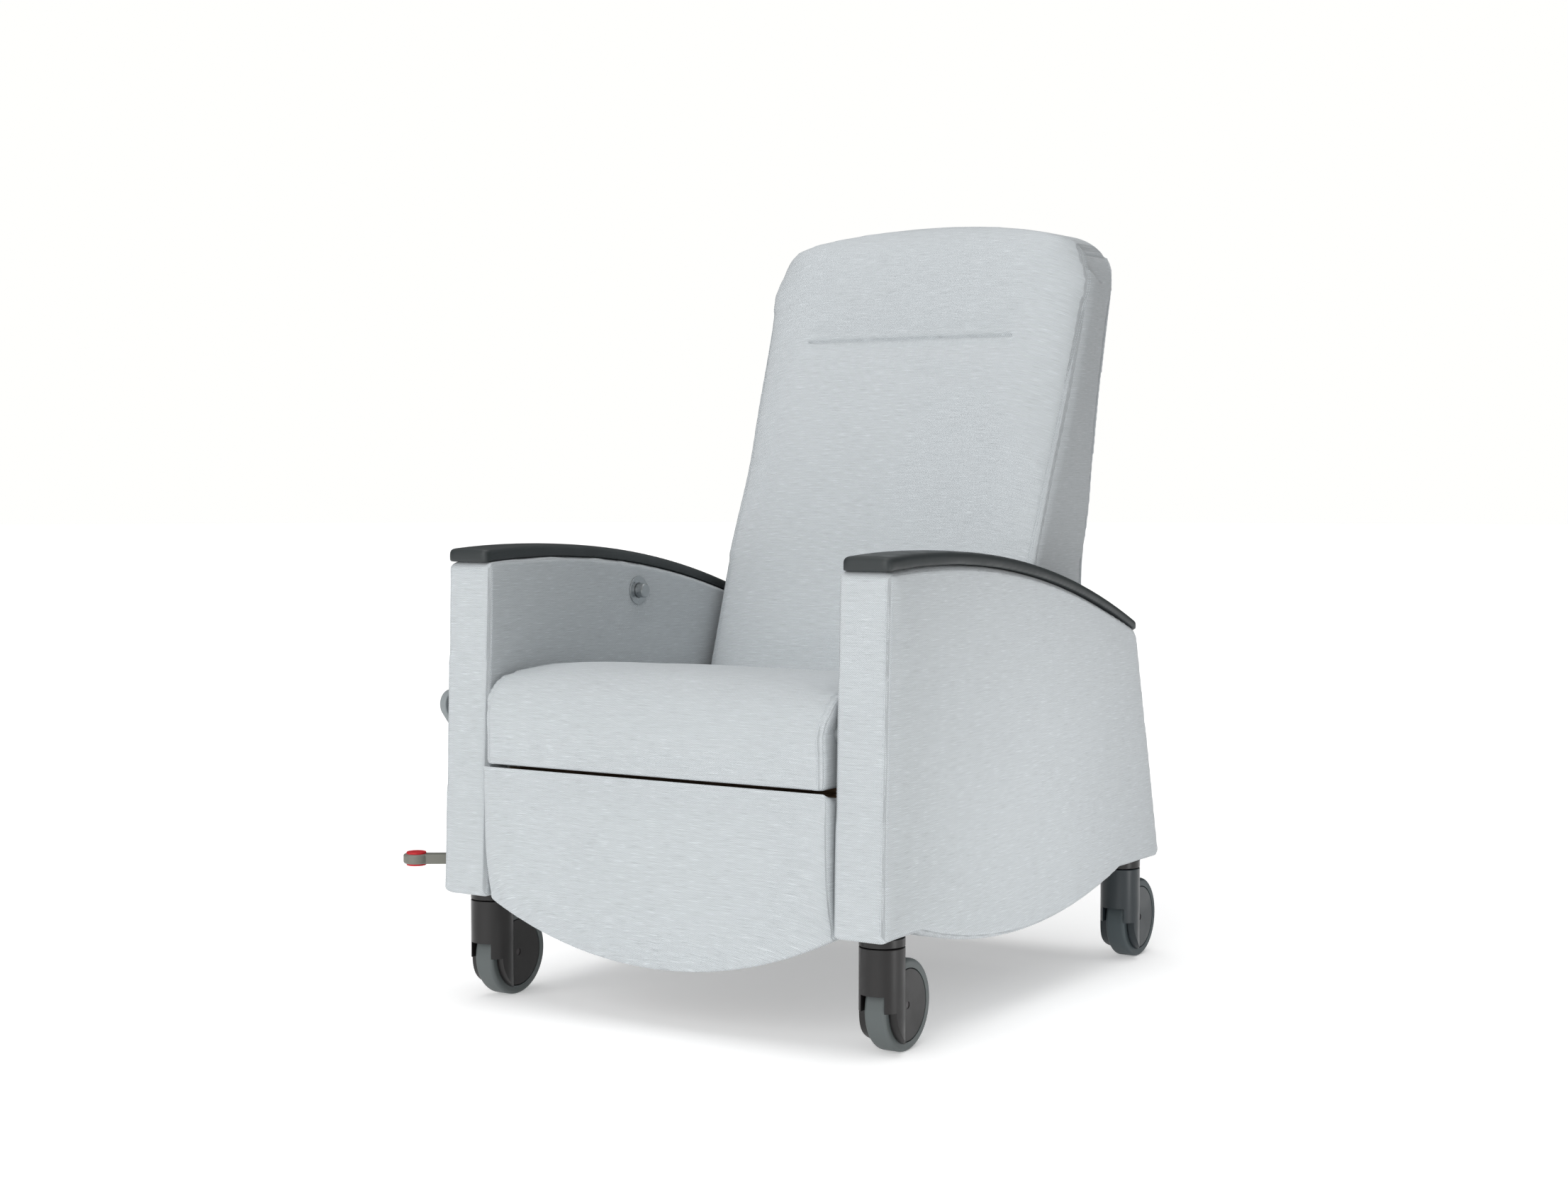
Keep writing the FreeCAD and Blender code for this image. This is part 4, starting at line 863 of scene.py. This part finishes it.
def make_back():
    """The cushion of the back: a broad face that turns away to both sides, with a line sewn across it."""
    low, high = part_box("back_cushion")
    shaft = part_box("back_pivot_shaft")
    pivot = np.array([0, (shaft[0].y + shaft[1].y) / 2, (shaft[0].z + shaft[1].z) / 2])
    piece = copy_of("back_upholstery", "back_cushion")
    with_modifier(piece, "REMESH", mode="VOXEL", voxel_size=VOXEL["back"])
    smooth(piece, 3)
    lean = math.atan(BACK_LEAN)
    forward = np.array([0, -math.cos(lean), math.sin(lean)])
    upward = np.array([0, math.sin(lean), math.cos(lean)])

    def give(co, normal):
        ahead = (co - pivot) @ forward
        near_side = smoothstep(np.abs(co[:, 0]), 252 * MM, 258 * MM)
        near_top = smoothstep(co[:, 2], high.z - 45 * MM, high.z - 30 * MM)
        shell = np.maximum(np.maximum(smoothstep(ahead, 20 * MM, 30 * MM), near_side), near_top)
        lap = smoothstep(co[:, 2], low.z + 140 * MM, low.z + 210 * MM)
        rear = 1 - smoothstep(normal[:, 1], 0.5, 0.9) * (co[:, 1] > pivot[1] + 60 * MM)
        side = 1 - 0.7 * smoothstep(np.abs(normal[:, 0]), 0.5, 0.9)
        top = 1 - 0.85 * smoothstep(normal[:, 2], 0.5, 0.85)
        return shell * lap * rear * side * top

    def eased_front(co):
        """Turns the front face away towards both sides in a wide curve that runs on through the boxing."""
        ahead = (co - pivot) @ forward
        front = np.clip((ahead + 20 * MM) / (90 * MM), 0, 1)
        gap = back_half(co[:, 2]) - np.abs(co[:, 0])
        deep = 12 * MM + 20 * MM * smoothstep(co[:, 2], ABOVE_ARMS[0], ABOVE_ARMS[0] + 250 * MM)
        drop = eased(gap, 88 * MM, deep)
        co -= forward * (drop * front)[:, None]
        most = 13 * MM + 5 * MM * smoothstep(co[:, 2], ABOVE_ARMS[1], ABOVE_ARMS[1] + 150 * MM)
        under_top = 1 - smoothstep(co[:, 2], high.z - 110 * MM, high.z - 50 * MM)
        wide = eased(gap, 90 * MM, 1) * most * front * under_top
        boxing = eased(gap, 60 * MM, 7 * MM) * (1 - front) * waist(co[:, 2])
        co[:, 0] += np.sign(co[:, 0]) * (wide + boxing)
        round_shoulders(co)

    seams = back_lines()
    swell(piece, give, 16 * MM, seams, 90 * MM)
    relaxed(piece, seams, 9 * MM, 30 * MM, 24)
    with_modifier(piece, "SUBSURF", levels=1, render_levels=1)
    co, normal = points_of(piece.data), normals_of(piece.data)
    facing = smoothstep(normal @ forward, 0.3, 0.7)
    tuft_z, tuft_half = high.z - 187 * MM, 185 * MM
    across = smoothstep(tuft_half + 22 * MM - np.abs(co[:, 0]), 0, 50 * MM)
    off = co[:, 2] - tuft_z
    dip = 1.5 * MM * np.exp(-(off / (5 * MM)) ** 2) + 6 * MM * np.exp(-(off / (26 * MM)) ** 2)
    pillow = 7 * MM * np.exp(-((off - 125 * MM) / (65 * MM)) ** 2)
    co = co + forward * (facing * (pillow - 1.2 * dip * across))[:, None]
    eased_front(co)
    for line in seams:
        eased_front(line)
    move_points(piece.data, co)
    smooth(piece, 5)
    tuft_x = np.linspace(-tuft_half, tuft_half, 90)
    tree = surface(piece)
    hits = [tree.ray_cast(Vector((x, low.y - 0.3, tuft_z)), Vector((0, 1, 0))) for x in tuft_x]
    tuft = np.array([hit[0][:] for hit in hits if hit[0]])
    lines = sew(piece, seams, depth=0.35 * MM, width=2.2 * MM, puff=0.1 * MM)
    tuft = sew(piece, [tuft], depth=3.6 * MM, width=1.7 * MM, puff=0.8 * MM)[0]
    co, normal = points_of(piece.data), normals_of(piece.data)
    below = (co - tuft[len(tuft) // 2]) @ upward
    pucker = np.sin(co[:, 0] * math.tau / (9 * MM)) * np.exp(-((below + 5 * MM) / (4 * MM)) ** 2)
    pucker = pucker * smoothstep(tuft_half - np.abs(co[:, 0]), 0, 20 * MM)
    pucker = pucker * smoothstep(normal @ forward, 0.4, 0.8)
    move_points(piece.data, co + forward * (0.55 * MM * pucker)[:, None])
    rows = [(line, offset) for line in lines for offset in (BACK_STITCH_OFFSET, -BACK_STITCH_OFFSET)]
    thread = stitched("back_stitching", piece, rows)
    wear(piece, "back_fabric")
    wear(thread, "thread")
    finish_piece(piece, "back", "back_cushion")
    finish_piece(thread, "back")


def make_outside_back():
    """The panel that closes the back: a thin pad with a crown."""
    piece = copy_of("outside_back", "back_rear_panel")
    with_modifier(piece, "REMESH", mode="VOXEL", voxel_size=VOXEL["outside_back"])
    with_modifier(piece, "DECIMATE", ratio=0.25)
    smooth(piece, 3)
    co, normal = points_of(piece.data), normals_of(piece.data)
    low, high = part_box("back_rear_panel")
    across = np.clip(1 - np.abs(co[:, 0]) / high.x, 0, 1)
    up = np.clip(np.minimum(co[:, 2] - low.z, high.z - co[:, 2]) / 0.2, 0, 1)
    crown = 5 * MM * np.sqrt(across) * np.sqrt(up) * smoothstep(normal[:, 1], 0.3, 0.8)
    co[:, 1] += crown
    edge = smoothstep(np.abs(co[:, 0]), high.x - 60 * MM, high.x - 15 * MM) * waist(co[:, 2])
    co[:, 0] += np.sign(co[:, 0]) * 7 * MM * edge
    round_shoulders(co)
    move_points(piece.data, co)
    wear(piece, "rear_fabric")
    finish_piece(piece, "back", "back_rear_panel")


# ---- leg rest ----
def make_legrest():
    """The front panel: filled in the middle, turned away towards its arched hem, square at the top."""
    low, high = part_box("legrest_pad")
    piece = copy_of("legrest_upholstery", "legrest_pad")
    with_modifier(piece, "REMESH", mode="VOXEL", voxel_size=VOXEL["legrest"])
    smooth(piece, 2)
    hem_rise = 71 * MM

    def above_hem(co):
        return co[:, 2] - (low.z + hem_rise * (co[:, 0] / high.x) ** 2)

    def give(co, normal):
        front = smoothstep(-normal[:, 1], 0.2, 0.7)
        return front * smoothstep(high.z - co[:, 2], 3 * MM, 50 * MM)

    co = points_of(piece.data)
    trued_co = co.copy()
    outline = resampled(rim("legrest_pad", (0, -1, 0)), 4 * MM, closed=True)
    trued(trued_co, outline, 1, (low.y, high.y), 6 * MM)
    lower = smoothstep(high.z - co[:, 2], 14 * MM, 22 * MM)[:, None]
    move_points(piece.data, co + (trued_co - co) * lower)
    swell(piece, give, 9 * MM)
    co = points_of(piece.data)
    crisp(co, (1, low.y, 1), (2, high.z, -1), 8 * MM)
    for side in (-1, 1):
        crisp(co, (0, side * high.x, -side), (2, high.z, -1), 8 * MM, co[:, 1] < low.y + 14 * MM)
    front = np.clip((high.y - co[:, 1]) / (high.y - low.y), 0, 1)
    beside = high.x - np.abs(co[:, 0])
    co[:, 1] += front * (eased(above_hem(co), 110 * MM, 15 * MM) + eased(beside, 16 * MM, 2 * MM))
    pucker, pucker_radius = 2.2 * MM, 9 * MM
    corner = np.exp(-(np.hypot(beside - 12 * MM, high.z - co[:, 2] - 10 * MM) / pucker_radius) ** 2)
    co[:, 1] += pucker * corner * (co[:, 1] < low.y + 12 * MM)
    move_points(piece.data, co)
    with_modifier(piece, "SUBSURF", levels=1, render_levels=1)
    wear(piece, "legrest_fabric")
    finish_piece(piece, "legrest", "legrest_pad")


def make_valance():
    """The lower rear panel."""
    piece = copy_of("rear_valance_cover", "rear_valance")
    with_modifier(piece, "REMESH", mode="VOXEL", voxel_size=VOXEL["valance"])
    smooth(piece, 3)
    wear(piece, "rear_fabric")
    finish_piece(piece, "root", "rear_valance")


# ---- stage, light and camera ----
def make_stage():
    """A white floor that glows a little, and the backdrop."""
    bm = bmesh.new()
    bmesh.ops.create_grid(bm, x_segments=1, y_segments=1, size=40)
    mesh = bpy.data.meshes.new("floor")
    bm.to_mesh(mesh)
    bm.free()
    floor = new_piece("floor", mesh)
    material, _, shader = new_material("floor_white", specular=0.1)
    shader.inputs["Base Color"].default_value = (0.9, 0.9, 0.9, 1)
    shader.inputs["Roughness"].default_value = 0.9
    shader.inputs["Emission Color"].default_value = (1, 1, 1, 1)
    shader.inputs["Emission Strength"].default_value = FLOOR_GLOW
    mesh.materials.append(material)
    make_backdrop()


def make_backdrop():
    """A white dome that only the camera sees, so that it adds no light."""
    bm = bmesh.new()
    bmesh.ops.create_uvsphere(bm, u_segments=48, v_segments=24, radius=39)
    mesh = bpy.data.meshes.new("backdrop")
    bm.to_mesh(mesh)
    bm.free()
    dome = new_piece("backdrop", mesh)
    material = bpy.data.materials.new("backdrop_white")
    material.use_nodes = True
    n = Nodes(material.node_tree)
    glow = n.add("ShaderNodeEmission", inputs={"Color": (1, 1, 0.985, 1), "Strength": 1.0})
    n.feed(material.node_tree.nodes["Material Output"].inputs["Surface"], glow.outputs[0])
    mesh.materials.append(material)
    for ray in ("diffuse", "glossy", "transmission", "volume_scatter", "shadow"):
        setattr(dome, "visible_" + ray, False)


def area_light(name, place, target, size, power, spread):
    light = bpy.data.lights.new(name, "AREA")
    light.shape = "SQUARE"
    light.size = size
    light.energy = power
    light.spread = math.radians(spread)
    lamp = bpy.data.objects.new(name, light)
    lamp.location = place
    lamp.visible_camera = False
    lamp.rotation_euler = (Vector(target) - Vector(place)).to_track_quat("-Z", "Y").to_euler()
    bpy.context.scene.collection.objects.link(lamp)


def sun(name, towards, strength, spread):
    """A distant soft light that shines along a direction."""
    light = bpy.data.lights.new(name, "SUN")
    light.energy = strength
    light.angle = math.radians(spread)
    lamp = bpy.data.objects.new(name, light)
    lamp.rotation_euler = Vector(towards).to_track_quat("-Z", "Y").to_euler()
    bpy.context.scene.collection.objects.link(lamp)


def make_light():
    """A soft sky, broad suns from the front and above, and a low reflector beside the arm with the button."""
    world = bpy.data.worlds.new("studio")
    world.use_nodes = True
    n = Nodes(world.node_tree)
    place = n.add("ShaderNodeTexCoord").outputs["Generated"]
    direction = n.add("ShaderNodeSeparateXYZ", inputs={0: place})
    background = world.node_tree.nodes["Background"]
    n.feed(background.inputs["Strength"], n.between(direction.outputs["Z"], 0.0, 1.0, 0.0, SKY))
    background.inputs["Color"].default_value = (1, 1, 1, 1)
    bpy.context.scene.world = world
    sun("front", (0.0, 0.95, -0.3), FRONT, 60)
    sun("front_right", (-0.5, 0.85, -0.4), FRONT_RIGHT, 50)
    sun("front_low", (0.1, 0.9, 0.15), FRONT_LOW, 60)
    sun("top", (0.0, 0.05, -1.0), TOP, 60)
    area_light("reflector", (2.7, -0.2, 0.05), (0.37, -0.05, 0.16), 0.5, REFLECTOR, 34)
    bpy.context.scene.view_settings.view_transform = "Standard"


def make_camera():
    camera = bpy.data.cameras.new("camera")
    camera.lens = LENS
    camera.sensor_width = SENSOR
    view = bpy.data.objects.new("camera", camera)
    view.location = CAMERA_PLACE
    view.rotation_euler = (math.radians(CAMERA_TURNS[0]), 0, math.radians(CAMERA_TURNS[1]))
    bpy.context.scene.collection.objects.link(view)
    bpy.context.scene.camera = view


make_camera()
make_light()
make_stage()
make_arms()
make_caps()
make_seat()
make_back()
make_outside_back()
make_legrest()
make_valance()
